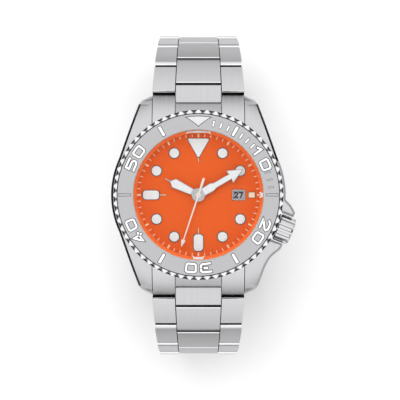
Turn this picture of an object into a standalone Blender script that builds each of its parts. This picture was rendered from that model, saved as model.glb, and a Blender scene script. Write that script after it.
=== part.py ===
"""Dive watch on a steel bracelet with a fold-over clasp.

The dial faces +Z, 12 o'clock is +Y and 3 o'clock is +X. The origin is the centre of the
case back's outer face. Sizes below are millimetres; MM turns them into metres.
"""

import math

import bmesh
import bpy
from mathutils import Matrix, Vector

MM = 0.001
COLLECTION_NAME = "dive_watch"
CUTTER_COLLECTION_NAME = "dive_watch_cutters"
MERGE_DISTANCE = 1e-6

# Segments of a full turn
ROUND = 48
SMALL_ROUND = 12
COARSE_ROUND = 36
HIDDEN_ROUND = 24
PIN_ROUND = 8

# ---- Driving dimensions -----------------------------------------------------------------
LUG_WIDTH = 22.0
LUG_TIP_Y = 23.9
LUG_INNER_X = 11.1
CASE_RADIUS = 20.75
CASE_BOTTOM = 1.2
CASE_TOP = 8.6
BORE_RADIUS = 15.75
STACK_RADIUS = 15.6
NECK_RADIUS = 16.9
NECK_TOP = 10.55
BEZEL_SEAT_RADIUS = 18.3
END_LINK_GAP_RADIUS = 18.4
SHOULDER_START_Y = 12.0
SHOULDER_ARC_RADIUS = 19.7

BEZEL_RADIUS = 20.1
BEZEL_BOTTOM = 8.9
BEZEL_RIM_TOP = 11.15
BEZEL_SEAT_TOP = 10.7
BEZEL_SCALLOPS = 60
SCALLOP_DEPTH = 0.55
INSERT_INNER_RADIUS = 15.42
INSERT_OUTER_RADIUS = 19.1
INSERT_TOP = 11.35

CRYSTAL_RADIUS = 15.3
CRYSTAL_BOTTOM = 9.3
CRYSTAL_TOP = 11.6
DIAL_BOTTOM = 6.65
DIAL_TOP = 7.0
DIAL_VISIBLE_RADIUS = 14.65
DATE_WINDOW_X = 9.6
DATE_WINDOW_SIZE = (2.5, 1.8)

CROWN_ANGLE = math.radians(-21.7)
CROWN_AXIS_Z = 5.1
CROWN_RADIUS = 3.25
CROWN_END = 24.15
CROWN_START = 21.0
CROWN_FLUTES = 14
POCKET_HALF_WIDTH = 3.5
POCKET_FLOOR = 20.8

HOUR_ANGLE = math.radians(154.0)
MINUTE_ANGLE = math.radians(30.0)
SECONDS_ANGLE = math.radians(-108.3)

LINK_COUNT = 7
LINK_PITCH = 6.8
LINK_THICKNESS = 2.9
LINK_KNUCKLE = LINK_THICKNESS / 2
KNUCKLE_STEPS = 4
KNUCKLE_GAP = 0.1
LINK_TILTS = [25, 50, 70, 97, 120, 140, 160]
FIRST_HINGE_Y = 25.7
FIRST_HINGE_Z = 3.0
LINK_END_GAP = 0.15
CLASP_WIDTH = 18.0
CENTRE_HALF_WIDTH = 5.5
SIDE_SEAM = 0.1
PIN_RADIUS = 0.5
PIN_HOLE_RADIUS = 0.6

CLASP_ARC_RADIUS = 55.0
CLASP_WALL_HALF_WIDTH = 9.1

MOTION_MODULE = 0.19
CANNON_TEETH = 10
MINUTE_WHEEL_TEETH = 30
MINUTE_PINION_TEETH = 8
HOUR_WHEEL_TEETH = 32
MOTION_CENTRE_DISTANCE = MOTION_MODULE * (CANNON_TEETH + MINUTE_WHEEL_TEETH) / 2
HOUR_MODULE = 2 * MOTION_CENTRE_DISTANCE / (MINUTE_PINION_TEETH + HOUR_WHEEL_TEETH)
MINUTE_WHEEL_ANGLE = math.radians(150.0)


# ---- Scene set-up -----------------------------------------------------------------------
for old_object in list(bpy.data.objects):
    bpy.data.objects.remove(old_object, do_unlink=True)

parts = bpy.data.collections.new(COLLECTION_NAME)
cutters = bpy.data.collections.new(CUTTER_COLLECTION_NAME)
bpy.context.scene.collection.children.link(parts)
bpy.context.scene.collection.children.link(cutters)


def material(name, colour, roughness, metallic):
    """A Principled material."""
    result = bpy.data.materials.new(name)
    result.use_nodes = True
    shader = result.node_tree.nodes["Principled BSDF"]
    shader.inputs["Base Color"].default_value = (*colour, 1.0)
    shader.inputs["Roughness"].default_value = roughness
    shader.inputs["Metallic"].default_value = metallic
    return result


BRUSHED_STEEL = material("brushed_steel", (0.62, 0.62, 0.63), 0.35, 1.0)
POLISHED_STEEL = material("polished_steel", (0.75, 0.75, 0.76), 0.12, 1.0)
INSERT_STEEL = material("insert_steel", (0.45, 0.45, 0.46), 0.4, 1.0)
ORANGE_LACQUER = material("orange_lacquer", (0.80, 0.13, 0.02), 0.35, 0.0)
SAPPHIRE = material("sapphire", (0.95, 0.97, 1.0), 0.02, 0.0)
BRASS = material("brass", (0.72, 0.52, 0.20), 0.3, 1.0)
BLACK_RUBBER = material("black_rubber", (0.02, 0.02, 0.02), 0.7, 0.0)
WHITE_PLASTIC = material("white_plastic", (0.75, 0.75, 0.72), 0.5, 0.0)
CIRCUIT_GREEN = material("circuit_green", (0.03, 0.22, 0.08), 0.5, 0.0)
COPPER = material("copper", (0.70, 0.30, 0.15), 0.35, 1.0)
DATE_WHITE = material("date_white", (0.85, 0.85, 0.85), 0.5, 0.0)


# ---- Modelling helpers ------------------------------------------------------------------
def link_object(name, mesh, collection):
    """Add a mesh to the scene as an object in one of the two collections."""
    result = bpy.data.objects.new(name, mesh)
    collection.objects.link(result)
    if collection is cutters:
        result.hide_render = True
        result.display_type = "WIRE"
    return result


def finish_part(part, look):
    """Give a sub-part its own material and smooth shading."""
    own_look = look.copy()
    own_look.name = part.name + "_finish"
    part.data.materials.clear()
    part.data.materials.append(own_look)
    part.data.shade_smooth()
    part.data.set_sharp_from_angle(angle=math.radians(30))
    return part


def arc(centre, radius, start_deg, end_deg, steps):
    """Points along a circular arc, both ends included."""
    points = []
    for step in range(steps + 1):
        angle = math.radians(start_deg + (end_deg - start_deg) * step / steps)
        points.append((centre[0] + radius * math.cos(angle), centre[1] + radius * math.sin(angle)))
    return points


def prism(name, outlines, low, high, collection=None, across_x=False):
    """Extrude flat outlines (the later ones are holes) from low to high.

    The outlines lie in XY and rise along Z, or with across_x lie in YZ and run along X.
    """
    curve = bpy.data.curves.new(name + "_outline", "CURVE")
    curve.dimensions = "2D"
    curve.fill_mode = "BOTH"
    curve.extrude = (high - low) / 2 * MM
    for outline in outlines:
        spline = curve.splines.new("POLY")
        spline.points.add(len(outline) - 1)
        for point, (first, second) in zip(spline.points, outline):
            point.co = (first * MM, second * MM, 0.0, 1.0)
        spline.use_cyclic_u = True
    guide = bpy.data.objects.new(name + "_outline", curve)
    cutters.objects.link(guide)
    mesh = bpy.data.meshes.new_from_object(guide.evaluated_get(bpy.context.evaluated_depsgraph_get()))
    bpy.data.objects.remove(guide, do_unlink=True)
    bpy.data.curves.remove(curve)
    mesh.name = name
    mesh.transform(Matrix.Translation((0, 0, (low + high) / 2 * MM)))
    if across_x:
        mesh.transform(Matrix(((0, 0, 1, 0), (1, 0, 0, 0), (0, 1, 0, 0), (0, 0, 0, 1))))
    weld(mesh)
    return link_object(name, mesh, collection or parts)


def weld(mesh):
    """Merge the loose caps of a converted shape and turn every face outwards."""
    work = bmesh.new()
    work.from_mesh(mesh)
    bmesh.ops.remove_doubles(work, verts=work.verts, dist=MERGE_DISTANCE)
    bmesh.ops.recalc_face_normals(work, faces=work.faces)
    work.to_mesh(mesh)
    work.free()


def turned(name, profile, collection=None, steps=ROUND):
    """Turn a profile of (radius, height) points about Z. Its outer side runs top to bottom.

    A profile that starts and ends on the axis stays open there; any other is a closed loop.
    """
    mesh = bpy.data.meshes.new(name)
    on_axis = profile[0][0] == 0
    corners = [(radius * MM, 0.0, height * MM) for radius, height in profile]
    edges = [(index, index + 1) for index in range(len(profile) - 1)]
    if not on_axis:
        edges.append((len(profile) - 1, 0))
    mesh.from_pydata(corners, edges, [])
    result = link_object(name, mesh, collection or parts)
    screw = result.modifiers.new("turn", "SCREW")
    screw.steps = steps
    screw.render_steps = steps
    screw.use_merge_vertices = True
    screw.merge_threshold = MERGE_DISTANCE
    return result


def disc(name, radius, low, high, collection=None, steps=ROUND):
    """A plain cylinder about Z."""
    mesh = bpy.data.meshes.new(name)
    work = bmesh.new()
    size = radius * MM
    depth = (high - low) * MM
    bmesh.ops.create_cone(work, cap_ends=True, segments=steps, radius1=size, radius2=size, depth=depth)
    bmesh.ops.translate(work, vec=(0, 0, (low + high) / 2 * MM), verts=work.verts)
    work.to_mesh(mesh)
    work.free()
    return link_object(name, mesh, collection or parts)


def ring(name, inner, outer, low, high, collection=None, steps=ROUND):
    """A ring of rectangular section about Z."""
    profile = [(inner, high), (outer, high), (outer, low), (inner, low)]
    return turned(name, profile, collection, steps)


def box(name, centre, size, collection=None):
    """A rectangular block."""
    mesh = bpy.data.meshes.new(name)
    work = bmesh.new()
    bmesh.ops.create_cube(work, size=MM)
    bmesh.ops.scale(work, vec=Vector(size), verts=work.verts)
    bmesh.ops.translate(work, vec=Vector(centre) * MM, verts=work.verts)
    work.to_mesh(mesh)
    work.free()
    return link_object(name, mesh, collection or parts)


def rod_x(name, radius, start, end, height_y=0.0, height_z=0.0, collection=None, steps=PIN_ROUND):
    """A cylinder along X through a point of the YZ plane."""
    mesh = bpy.data.meshes.new(name)
    work = bmesh.new()
    length = (end - start) * MM
    bmesh.ops.create_cone(
        work, cap_ends=True, segments=steps, radius1=radius * MM, radius2=radius * MM, depth=length
    )
    bmesh.ops.rotate(work, cent=(0, 0, 0), matrix=Matrix.Rotation(math.pi / 2, 3, "Y"), verts=work.verts)
    middle = Vector(((start + end) / 2, height_y, height_z)) * MM
    bmesh.ops.translate(work, vec=middle, verts=work.verts)
    work.to_mesh(mesh)
    work.free()
    return link_object(name, mesh, collection or parts)


def boolean(target, other, operation):
    """Cut, join or intersect a part with a cutter."""
    modifier = target.modifiers.new(operation.lower() + "_" + other.name, "BOOLEAN")
    modifier.operation = operation
    modifier.object = other
    modifier.solver = "EXACT"
    return target


def cut(target, *others):
    """Take several cutters away from a part."""
    for other in others:
        boolean(target, other, "DIFFERENCE")
    return target


def join(target, *others):
    """Unite a part with several shapes."""
    for other in others:
        boolean(target, other, "UNION")
    return target


def apply_modifiers(part):
    """Bake a part's modifiers into its mesh, and drop the cutters that only it used."""
    bpy.context.view_layer.update()
    used = [modifier.object for modifier in part.modifiers if modifier.type == "BOOLEAN"]
    evaluated = part.evaluated_get(bpy.context.evaluated_depsgraph_get())
    mesh = bpy.data.meshes.new_from_object(evaluated)
    part.modifiers.clear()
    part.data = mesh
    for cutter in used:
        bpy.data.objects.remove(cutter, do_unlink=True)
    return part


def along_crown(part):
    """Turn a part made about Z so that it lies along the crown's axis."""
    part.location = (0, 0, CROWN_AXIS_Z * MM)
    part.rotation_euler = (0, math.pi / 2, CROWN_ANGLE)
    return part


def crown_to_plan(along, across):
    """A point of the crown's own frame, seen in plan."""
    cosine = math.cos(CROWN_ANGLE)
    sine = math.sin(CROWN_ANGLE)
    return (along * cosine - across * sine, along * sine + across * cosine)


# ---- Case -------------------------------------------------------------------------------
def case_outline():
    """The middle case in plan, with its four lugs, the crown guards and the crown pocket."""
    shoulder = [(14.3, 21.7), (13.5, 22.7), (LUG_INNER_X, LUG_TIP_Y)]
    flank_end_deg = 24.9
    right_arc = arc((0, 0), CASE_RADIUS, flank_end_deg, -3, 5)
    upper_guard = [(21.3, 5.9), (22.75, 4.75), (22.95, 4.2), (22.9, POCKET_HALF_WIDTH)]
    pocket = [(POCKET_FLOOR, POCKET_HALF_WIDTH), (POCKET_FLOOR, -POCKET_HALF_WIDTH)]
    lower_guard = [(22.9, -POCKET_HALF_WIDTH), (22.95, -4.2), (22.75, -5.0), (22.1, -6.1)]
    lower_flank = [(21.55, -7.2), (21.25, -8.4), (21.1, -9.9)]
    left_arc = arc((0, 0), CASE_RADIUS, 180 + flank_end_deg, 180 - flank_end_deg, 10)
    guards = [crown_to_plan(*point) for point in upper_guard + pocket + lower_guard + lower_flank]
    outline = list(reversed(shoulder)) + right_arc + guards
    outline += [(x, -y) for x, y in shoulder]
    outline += [(-x, -y) for x, y in reversed(shoulder)]
    outline += left_arc
    outline += [(-x, y) for x, y in shoulder]
    return outline


def shoulder_arc(drop, steps=6):
    """The lug's falling top line on the 12 o'clock side, from the flat out to the tip."""
    centre = (SHOULDER_START_Y, CASE_TOP - drop - SHOULDER_ARC_RADIUS)
    reach = math.degrees(math.acos((LUG_TIP_Y + 0.2 - SHOULDER_START_Y) / SHOULDER_ARC_RADIUS))
    return arc(centre, SHOULDER_ARC_RADIUS, 90, reach, steps)


def side_outline():
    """The case seen from the side: a flat middle, falling lugs and a raised belly."""
    top = shoulder_arc(0)
    tip = [(LUG_TIP_Y + 0.2, 1.8), (22.6, 0.6), (19.5, 0.6), (15.0, CASE_BOTTOM)]
    right = top + tip
    return right + [(-y, z) for y, z in reversed(right)]


def lug_gap_cutter(name, side):
    """The slot between two lugs, stopped by the round middle of the case."""
    slot = box(name, (0, side * 20, 5), (2 * LUG_INNER_X, 20, 20), cutters)
    core = disc(name + "_core", END_LINK_GAP_RADIUS, -10, 20, cutters)
    return cut(slot, core)


SPRING_BAR_Y = 21.6
SPRING_BAR_Z = 2.6
SPRING_BAR_RADIUS = 0.8
SPRING_BAR_TIP_RADIUS = 0.4
SPRING_BAR_REACH = 12.1


def build_mid_case():
    """The middle case: plan and side outlines intersected, then bored and slotted."""
    case = prism("mid_case", [case_outline()], -2, 12)
    boolean(case, prism("case_side", [side_outline()], -30, 30, cutters, across_x=True), "INTERSECT")
    seat_top = CASE_TOP + 0.02
    retaining_groove = [(NECK_RADIUS, 9.9), (16.55, 9.9), (16.55, 9.4), (NECK_RADIUS, 9.4)]
    seat_profile = [(14, NECK_TOP), (NECK_RADIUS, NECK_TOP), *retaining_groove]
    seat_profile += [(NECK_RADIUS, seat_top), (BEZEL_SEAT_RADIUS, seat_top), (BEZEL_SEAT_RADIUS, 5), (14, 5)]
    join(case, turned("bezel_seat", seat_profile, cutters))
    groove_top = CASE_BOTTOM + 0.55
    recess_top = CASE_BOTTOM + 0.02
    gasket_groove = [(BORE_RADIUS, groove_top), (16.5, groove_top), (16.5, recess_top)]
    back_recess = [(17.0, recess_top), (17.0, -5)]
    hollow_profile = [(0, 20), (BORE_RADIUS, 20), *gasket_groove, *back_recess, (0, -5)]
    click_spring_groove = ring("click_spring_groove", 17.15, 17.9, 8.15, 9, cutters)
    click_spring_groove.rotation_euler.z = math.pi / ROUND
    cut(
        case,
        turned("case_hollow", hollow_profile, cutters),
        click_spring_groove,
        lug_gap_cutter("lug_gap_12", 1),
        lug_gap_cutter("lug_gap_6", -1),
        along_crown(disc("crown_tube_hole", 1.56, 12, 22, cutters, SMALL_ROUND)),
    )
    for side in (1, -1):
        hole_name = "spring_bar_hole_" + ("12" if side > 0 else "6")
        reach = SPRING_BAR_REACH + 0.25
        cut(case, rod_x(hole_name, 0.5, -reach, reach, side * SPRING_BAR_Y, SPRING_BAR_Z, cutters))
    return finish_part(case, BRUSHED_STEEL)


def build_case_back():
    """The screwed case back, its gasket and the flat face that rests on the wrist."""
    profile = [
        (0, 1.95),
        (STACK_RADIUS - 0.05, 1.95),
        (STACK_RADIUS - 0.05, 1.15),
        (16.8, 1.15),
        (16.8, 0.35),
        (16.4, 0),
        (0, 0),
    ]
    finish_part(turned("case_back", profile, steps=COARSE_ROUND), POLISHED_STEEL)
    gasket = ring("case_back_gasket", 15.95, 16.35, 1.25, 1.65, steps=COARSE_ROUND)
    finish_part(gasket, BLACK_RUBBER)


def build_crystal():
    """The flat sapphire, its gasket and the ring that slopes down to the dial."""
    profile = [
        (0, CRYSTAL_TOP),
        (CRYSTAL_RADIUS - 0.2, CRYSTAL_TOP),
        (CRYSTAL_RADIUS, CRYSTAL_TOP - 0.2),
        (CRYSTAL_RADIUS, CRYSTAL_BOTTOM),
        (0, CRYSTAL_BOTTOM),
    ]
    finish_part(turned("crystal", profile), SAPPHIRE)
    gasket = ring("crystal_gasket", 15.38, 15.68, CRYSTAL_BOTTOM, 10.5)
    finish_part(gasket, WHITE_PLASTIC)
    rehaut = [
        (15.25, 9.2),
        (STACK_RADIUS, 9.2),
        (STACK_RADIUS, DIAL_TOP + 0.08),
        (DIAL_VISIBLE_RADIUS, DIAL_TOP + 0.08),
        (DIAL_VISIBLE_RADIUS, DIAL_TOP + 0.3),
    ]
    finish_part(turned("chapter_ring", rehaut, steps=COARSE_ROUND), ORANGE_LACQUER)


def build_dial():
    """The dial with its centre hole and date window, and the frame round the window."""
    dial = disc("dial", STACK_RADIUS, DIAL_BOTTOM, DIAL_TOP, steps=COARSE_ROUND)
    window_size = (*DATE_WINDOW_SIZE, 2)
    cut(
        dial,
        disc("dial_centre_hole", 1.1, 5, 8, cutters, SMALL_ROUND),
        box("date_window_cutter", (DATE_WINDOW_X, 0, DIAL_TOP), window_size, cutters),
    )
    finish_part(dial, ORANGE_LACQUER)
    frame = box("date_frame", (DATE_WINDOW_X, 0, DIAL_TOP + 0.16), (3.2, 2.5, 0.22))
    cut(frame, box("date_frame_hole", (DATE_WINDOW_X, 0, DIAL_TOP), window_size, cutters))
    finish_part(frame, POLISHED_STEEL)


def build_end_link(name, side):
    """The curved end link between two lugs, with the nose that carries the first hinge."""
    top_drop = 0.12
    top = shoulder_arc(top_drop)
    face_y = FIRST_HINGE_Y - LINK_KNUCKLE - 0.28
    top = [(y, z) for y, z in top if y < face_y - 0.5]
    top.append((face_y - 0.1, 4.5))
    outline = top + [(face_y, 4.1), (face_y, 1.9), (face_y - 0.5, 1.4), (14, 1.4), (14, CASE_TOP)]
    outline = [(side * y, z) for y, z in outline]
    half_width = LUG_WIDTH / 2 - 0.05
    link = prism(name, [outline], -half_width, half_width, across_x=True)
    knuckle = arc((FIRST_HINGE_Y, FIRST_HINGE_Z), LINK_KNUCKLE, 90, -90, KNUCKLE_STEPS)
    nose_outline = knuckle + [(20, FIRST_HINGE_Z - LINK_KNUCKLE), (20, FIRST_HINGE_Z + LINK_KNUCKLE)]
    nose_outline = [(side * y, z) for y, z in nose_outline]
    nose = prism(name + "_nose", [nose_outline], -CENTRE_HALF_WIDTH, CENTRE_HALF_WIDTH, cutters, True)
    join(link, nose)
    bar_hole_y = side * SPRING_BAR_Y
    cut(
        link,
        disc(name + "_seat", END_LINK_GAP_RADIUS + 0.15, -10, 20, cutters),
        rod_x(name + "_pin_hole", PIN_HOLE_RADIUS, -8, 8, side * FIRST_HINGE_Y, FIRST_HINGE_Z, cutters),
        rod_x(name + "_bar_hole", 0.95, -15, 15, bar_hole_y, SPRING_BAR_Z, cutters),
    )
    finish_part(link, BRUSHED_STEEL)


def build_spring_bar(name, side):
    """A spring bar: a fat tube whose thin tips reach into the two lugs."""
    body = rod_x(name, SPRING_BAR_RADIUS, -10.6, 10.6, side * SPRING_BAR_Y, SPRING_BAR_Z)
    reach = SPRING_BAR_REACH
    tips = rod_x(
        name + "_tips", SPRING_BAR_TIP_RADIUS, -reach, reach, side * SPRING_BAR_Y, SPRING_BAR_Z, cutters
    )
    join(body, tips)
    finish_part(body, POLISHED_STEEL)


# ---- Movement ---------------------------------------------------------------------------
BATTERY_CENTRE = (-5.5, -3.0)
COIL_CENTRE = (3.4, -8.2)


def place(part, x, y):
    """Move a part in plan."""
    part.location.x = x * MM
    part.location.y = y * MM
    return part


def build_movement():
    """The quartz movement's plate, holder, battery, coil and circuit."""
    holder = ring("movement_holder", 13.3, STACK_RADIUS, 2.3, 6.5, steps=HIDDEN_ROUND)
    cut(holder, along_crown(disc("holder_stem_hole", 0.8, 8, 20, cutters, SMALL_ROUND)))
    finish_part(holder, WHITE_PLASTIC)

    plate = disc("movement_plate", 13.1, 2.9, 5.9)
    post = place(
        disc("minute_wheel_post", 0.3, 4.5, 6.2, cutters, SMALL_ROUND),
        MOTION_CENTRE_DISTANCE * math.cos(MINUTE_WHEEL_ANGLE),
        MOTION_CENTRE_DISTANCE * math.sin(MINUTE_WHEEL_ANGLE),
    )
    cut(
        plate,
        disc("motion_work_recess", 7.2, 5.15, 7, cutters, HIDDEN_ROUND),
        disc("plate_centre_hole", 0.62, 0, 7, cutters, SMALL_ROUND),
        place(disc("battery_pocket", 4.95, 1, 4.6, cutters, HIDDEN_ROUND), *BATTERY_CENTRE),
        box("coil_pocket", (*COIL_CENTRE, 3.0), (8.8, 2.8, 3.6), cutters),
        along_crown(disc("plate_stem_hole", 0.62, 8.4, 20, cutters, SMALL_ROUND)),
    )
    join(plate, post)
    finish_part(plate, BRASS)

    battery = disc("battery", 4.75, 2.35, 4.45, steps=HIDDEN_ROUND)
    finish_part(place(battery, *BATTERY_CENTRE), POLISHED_STEEL)

    circuit = disc("circuit_board", 12.6, 2.35, 2.75, steps=HIDDEN_ROUND)
    cut(circuit, place(disc("circuit_battery_hole", 5.1, 1, 4, cutters, HIDDEN_ROUND), *BATTERY_CENTRE))
    finish_part(circuit, CIRCUIT_GREEN)

    coil_x, coil_y = COIL_CENTRE
    coil_end = 3.8
    coil = rod_x("stepper_coil", 0.8, coil_x - coil_end, coil_x + coil_end, coil_y, 3.8)
    for side in (-1, 1):
        cheek_centre = (coil_x + side * coil_end, coil_y, 3.8)
        join(coil, box("coil_cheek_%d" % side, cheek_centre, (0.8, 2.2, 1.8), cutters))
    finish_part(coil, COPPER)


def gear_outline(teeth, module, phase):
    """A simple pointed-tooth gear in plan, with room for backlash."""
    pitch_radius = module * teeth / 2
    tip = pitch_radius + 0.7 * module
    root = pitch_radius - 1.1 * module
    half_root = 0.3 * 2 * math.pi / teeth
    points = []
    for tooth in range(teeth):
        middle = phase + 2 * math.pi * tooth / teeth
        corners = ((root, -half_root), (tip, 0.0), (root, half_root))
        for radius, offset in corners:
            points.append((radius * math.cos(middle + offset), radius * math.sin(middle + offset)))
    return points


def circle(radius, steps=SMALL_ROUND):
    """A round outline in plan."""
    return arc((0, 0), radius, 0, 360 - 360 / steps, steps - 1)


def build_motion_work():
    """Cannon pinion, minute wheel and hour wheel: the 12 to 1 train under the dial."""
    cannon_tooth = math.pi / CANNON_TEETH
    cannon_phase = MINUTE_WHEEL_ANGLE + cannon_tooth
    cannon = prism("cannon_pinion", [gear_outline(CANNON_TEETH, MOTION_MODULE, cannon_phase)], 5.25, 5.65)
    join(cannon, disc("cannon_tube", 0.5, 4.2, 8.6, cutters, SMALL_ROUND))
    cut(cannon, disc("cannon_bore", 0.28, 0, 10, cutters, SMALL_ROUND))
    finish_part(cannon, BRASS)

    facing_centre = MINUTE_WHEEL_ANGLE + math.pi
    wheel = prism(
        "minute_wheel", [gear_outline(MINUTE_WHEEL_TEETH, MOTION_MODULE, facing_centre)], 5.3, 5.55
    )
    pinion_outline = gear_outline(MINUTE_PINION_TEETH, HOUR_MODULE, facing_centre)
    join(wheel, prism("minute_pinion", [pinion_outline], 5.4, 6.1, cutters))
    cut(wheel, disc("minute_wheel_bore", 0.37, 0, 10, cutters, SMALL_ROUND))
    place(
        apply_modifiers(wheel),
        MOTION_CENTRE_DISTANCE * math.cos(MINUTE_WHEEL_ANGLE),
        MOTION_CENTRE_DISTANCE * math.sin(MINUTE_WHEEL_ANGLE),
    )
    finish_part(wheel, BRASS)

    hour_phase = MINUTE_WHEEL_ANGLE + math.pi / HOUR_WHEEL_TEETH
    hour_wheel = prism("hour_wheel", [gear_outline(HOUR_WHEEL_TEETH, HOUR_MODULE, hour_phase)], 5.8, 6.05)
    join(hour_wheel, disc("hour_tube", 0.8, 5.85, 8.05, cutters, SMALL_ROUND))
    cut(hour_wheel, disc("hour_tube_bore", 0.6, 0, 10, cutters, SMALL_ROUND))
    finish_part(hour_wheel, BRASS)

    finish_part(disc("seconds_arbor", 0.2, 3.2, 9.0, steps=SMALL_ROUND), POLISHED_STEEL)
    finish_part(ring("date_ring", 7.8, 11.0, 6.15, 6.4, steps=COARSE_ROUND), DATE_WHITE)


# ---- Hands ------------------------------------------------------------------------------
def mirrored(upper):
    """Close an outline whose upper half runs outwards from the hub along X."""
    return upper + [(x, -y) for x, y in reversed(upper)]


def hand(name, upper, hub_radius, hole_radius, low, high, angle):
    """A flat hand: a pointing outline joined to a round hub with its hole."""
    blade = prism(name, [mirrored(upper)], low, high)
    hub = disc(name + "_hub", hub_radius, low - 0.02, high + 0.02, cutters, 16)
    join(blade, hub)
    cut(blade, disc(name + "_hole", hole_radius, low - 1, high + 1, cutters, SMALL_ROUND))
    blade.rotation_euler = (0, 0, angle)
    return finish_part(blade, POLISHED_STEEL)


def build_hands():
    """Sword hour hand, arrow minute hand and needle seconds hand."""
    hour = [(0.0, 0.6), (1.5, 0.68), (6.45, 1.1), (7.25, 0.2), (8.85, 0.06)]
    hand("hour_hand", hour, 1.6, 0.84, 7.75, 7.95, HOUR_ANGLE)
    minute = [(0.0, 0.9), (3.7, 0.9), (4.3, 0.62), (8.6, 0.62), (8.6, 1.65), (11.9, 0.1), (12.4, 0.06)]
    hand("minute_hand", minute, 1.2, 0.54, 8.3, 8.5, MINUTE_ANGLE)
    seconds = [(-4.2, 0.22), (11.2, 0.12), (11.6, 0.3), (12.9, 0.05)]
    hand("seconds_hand", seconds, 0.6, 0.23, 8.8, 8.92, SECONDS_ANGLE)


# ---- Bezel ------------------------------------------------------------------------------
def bezel_outline():
    """The bezel's edge in plan: narrow crests between rounded scallops."""
    points = []
    pitch = 2 * math.pi / BEZEL_SCALLOPS
    shape = [(-0.3, 0.0), (0.0, 1.0), (0.3, 0.0)]
    for scallop in range(BEZEL_SCALLOPS):
        for along, depth in shape:
            angle = pitch * (scallop + 0.5 + along)
            radius = BEZEL_RADIUS - depth * SCALLOP_DEPTH
            points.append((radius * math.cos(angle), radius * math.sin(angle)))
    return points


def build_bezel():
    """The turning bezel, its insert, and the two springs that hold and click it."""
    outline = bezel_outline()
    bezel = prism("bezel_ring", [outline, circle(17.05, ROUND)], BEZEL_BOTTOM, BEZEL_RIM_TOP)
    cut(bezel, disc("insert_seat", INSERT_OUTER_RADIUS + 0.08, BEZEL_SEAT_TOP, 13, cutters))
    finish_part(bezel, POLISHED_STEEL)
    insert = ring("bezel_insert", INSERT_INNER_RADIUS, INSERT_OUTER_RADIUS, BEZEL_SEAT_TOP + 0.05, INSERT_TOP)
    finish_part(insert, INSERT_STEEL)
    click_spring = ring("bezel_click_spring", 17.3, 17.75, 8.2, 8.55, steps=COARSE_ROUND)
    finish_part(click_spring, POLISHED_STEEL)
    finish_part(ring("bezel_retaining_ring", 16.62, 16.85, 9.45, 9.85), POLISHED_STEEL)


# ---- Crown ------------------------------------------------------------------------------
def build_crown():
    """The fluted screw-look crown, its gasket, the case tube and the winding stem."""
    flutes = []
    for step in range(CROWN_FLUTES * 4):
        depth = 0.0 if step % 4 < 2 else 0.22
        angle = 2 * math.pi * (step + 0.5) / (CROWN_FLUTES * 4)
        flutes.append(((CROWN_RADIUS - depth) * math.cos(angle), (CROWN_RADIUS - depth) * math.sin(angle)))
    crown = prism("crown", [flutes], CROWN_START, CROWN_END)
    envelope = [
        (0, CROWN_END + 0.1),
        (2.6, CROWN_END + 0.1),
        (CROWN_RADIUS + 0.1, CROWN_END - 0.65),
        (CROWN_RADIUS + 0.1, CROWN_START - 0.1),
        (0, CROWN_START - 0.1),
    ]
    boolean(crown, turned("crown_envelope", envelope, cutters, HIDDEN_ROUND), "INTERSECT")
    cut(
        crown,
        disc("crown_cavity", 2.35, 18, 22.9, cutters, HIDDEN_ROUND),
        disc("crown_stem_hole", 0.52, 18, 23.6, cutters, SMALL_ROUND),
    )
    for shape in [crown] + [modifier.object for modifier in crown.modifiers]:
        along_crown(shape)
    finish_part(crown, BRUSHED_STEEL)
    gasket = ring("crown_gasket", 1.62, 2.25, 21.15, 21.65, steps=SMALL_ROUND)
    finish_part(along_crown(gasket), BLACK_RUBBER)
    tube = ring("crown_tube", 1.05, 1.5, 16.3, 22.6, steps=SMALL_ROUND)
    finish_part(along_crown(tube), POLISHED_STEEL)
    stem = disc("winding_stem", 0.45, 9.0, 23.4, steps=SMALL_ROUND)
    finish_part(along_crown(stem), POLISHED_STEEL)


# ---- Bracelet ---------------------------------------------------------------------------
def bracelet_width(hinge):
    """Width at a hinge: 22 mm at the case, easing to the clasp's width."""
    return CLASP_WIDTH + (LUG_WIDTH - CLASP_WIDTH) * (1 - hinge / LINK_COUNT) ** 2


def side_plate_outline(end):
    """A link's outer plate from the side: a round knuckle at its hinge, a flat far end."""
    knuckle = arc((0, 0), LINK_KNUCKLE, 90, 270, KNUCKLE_STEPS)
    return knuckle + [(end, -LINK_KNUCKLE), (end, LINK_KNUCKLE)]


def centre_block_outline(with_nose):
    """A link's middle block from the side: hollowed round its own hinge, a knuckle on the next."""
    hollow = LINK_KNUCKLE + KNUCKLE_GAP
    reach = math.degrees(math.asin(LINK_KNUCKLE / hollow))
    near = arc((0, 0), hollow, reach, -reach, 6)
    if with_nose:
        return near + arc((LINK_PITCH, 0), LINK_KNUCKLE, -90, 90, KNUCKLE_STEPS)
    end = LINK_PITCH - LINK_KNUCKLE - LINK_END_GAP
    return near + [(end, -LINK_KNUCKLE), (end, LINK_KNUCKLE)]


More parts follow.
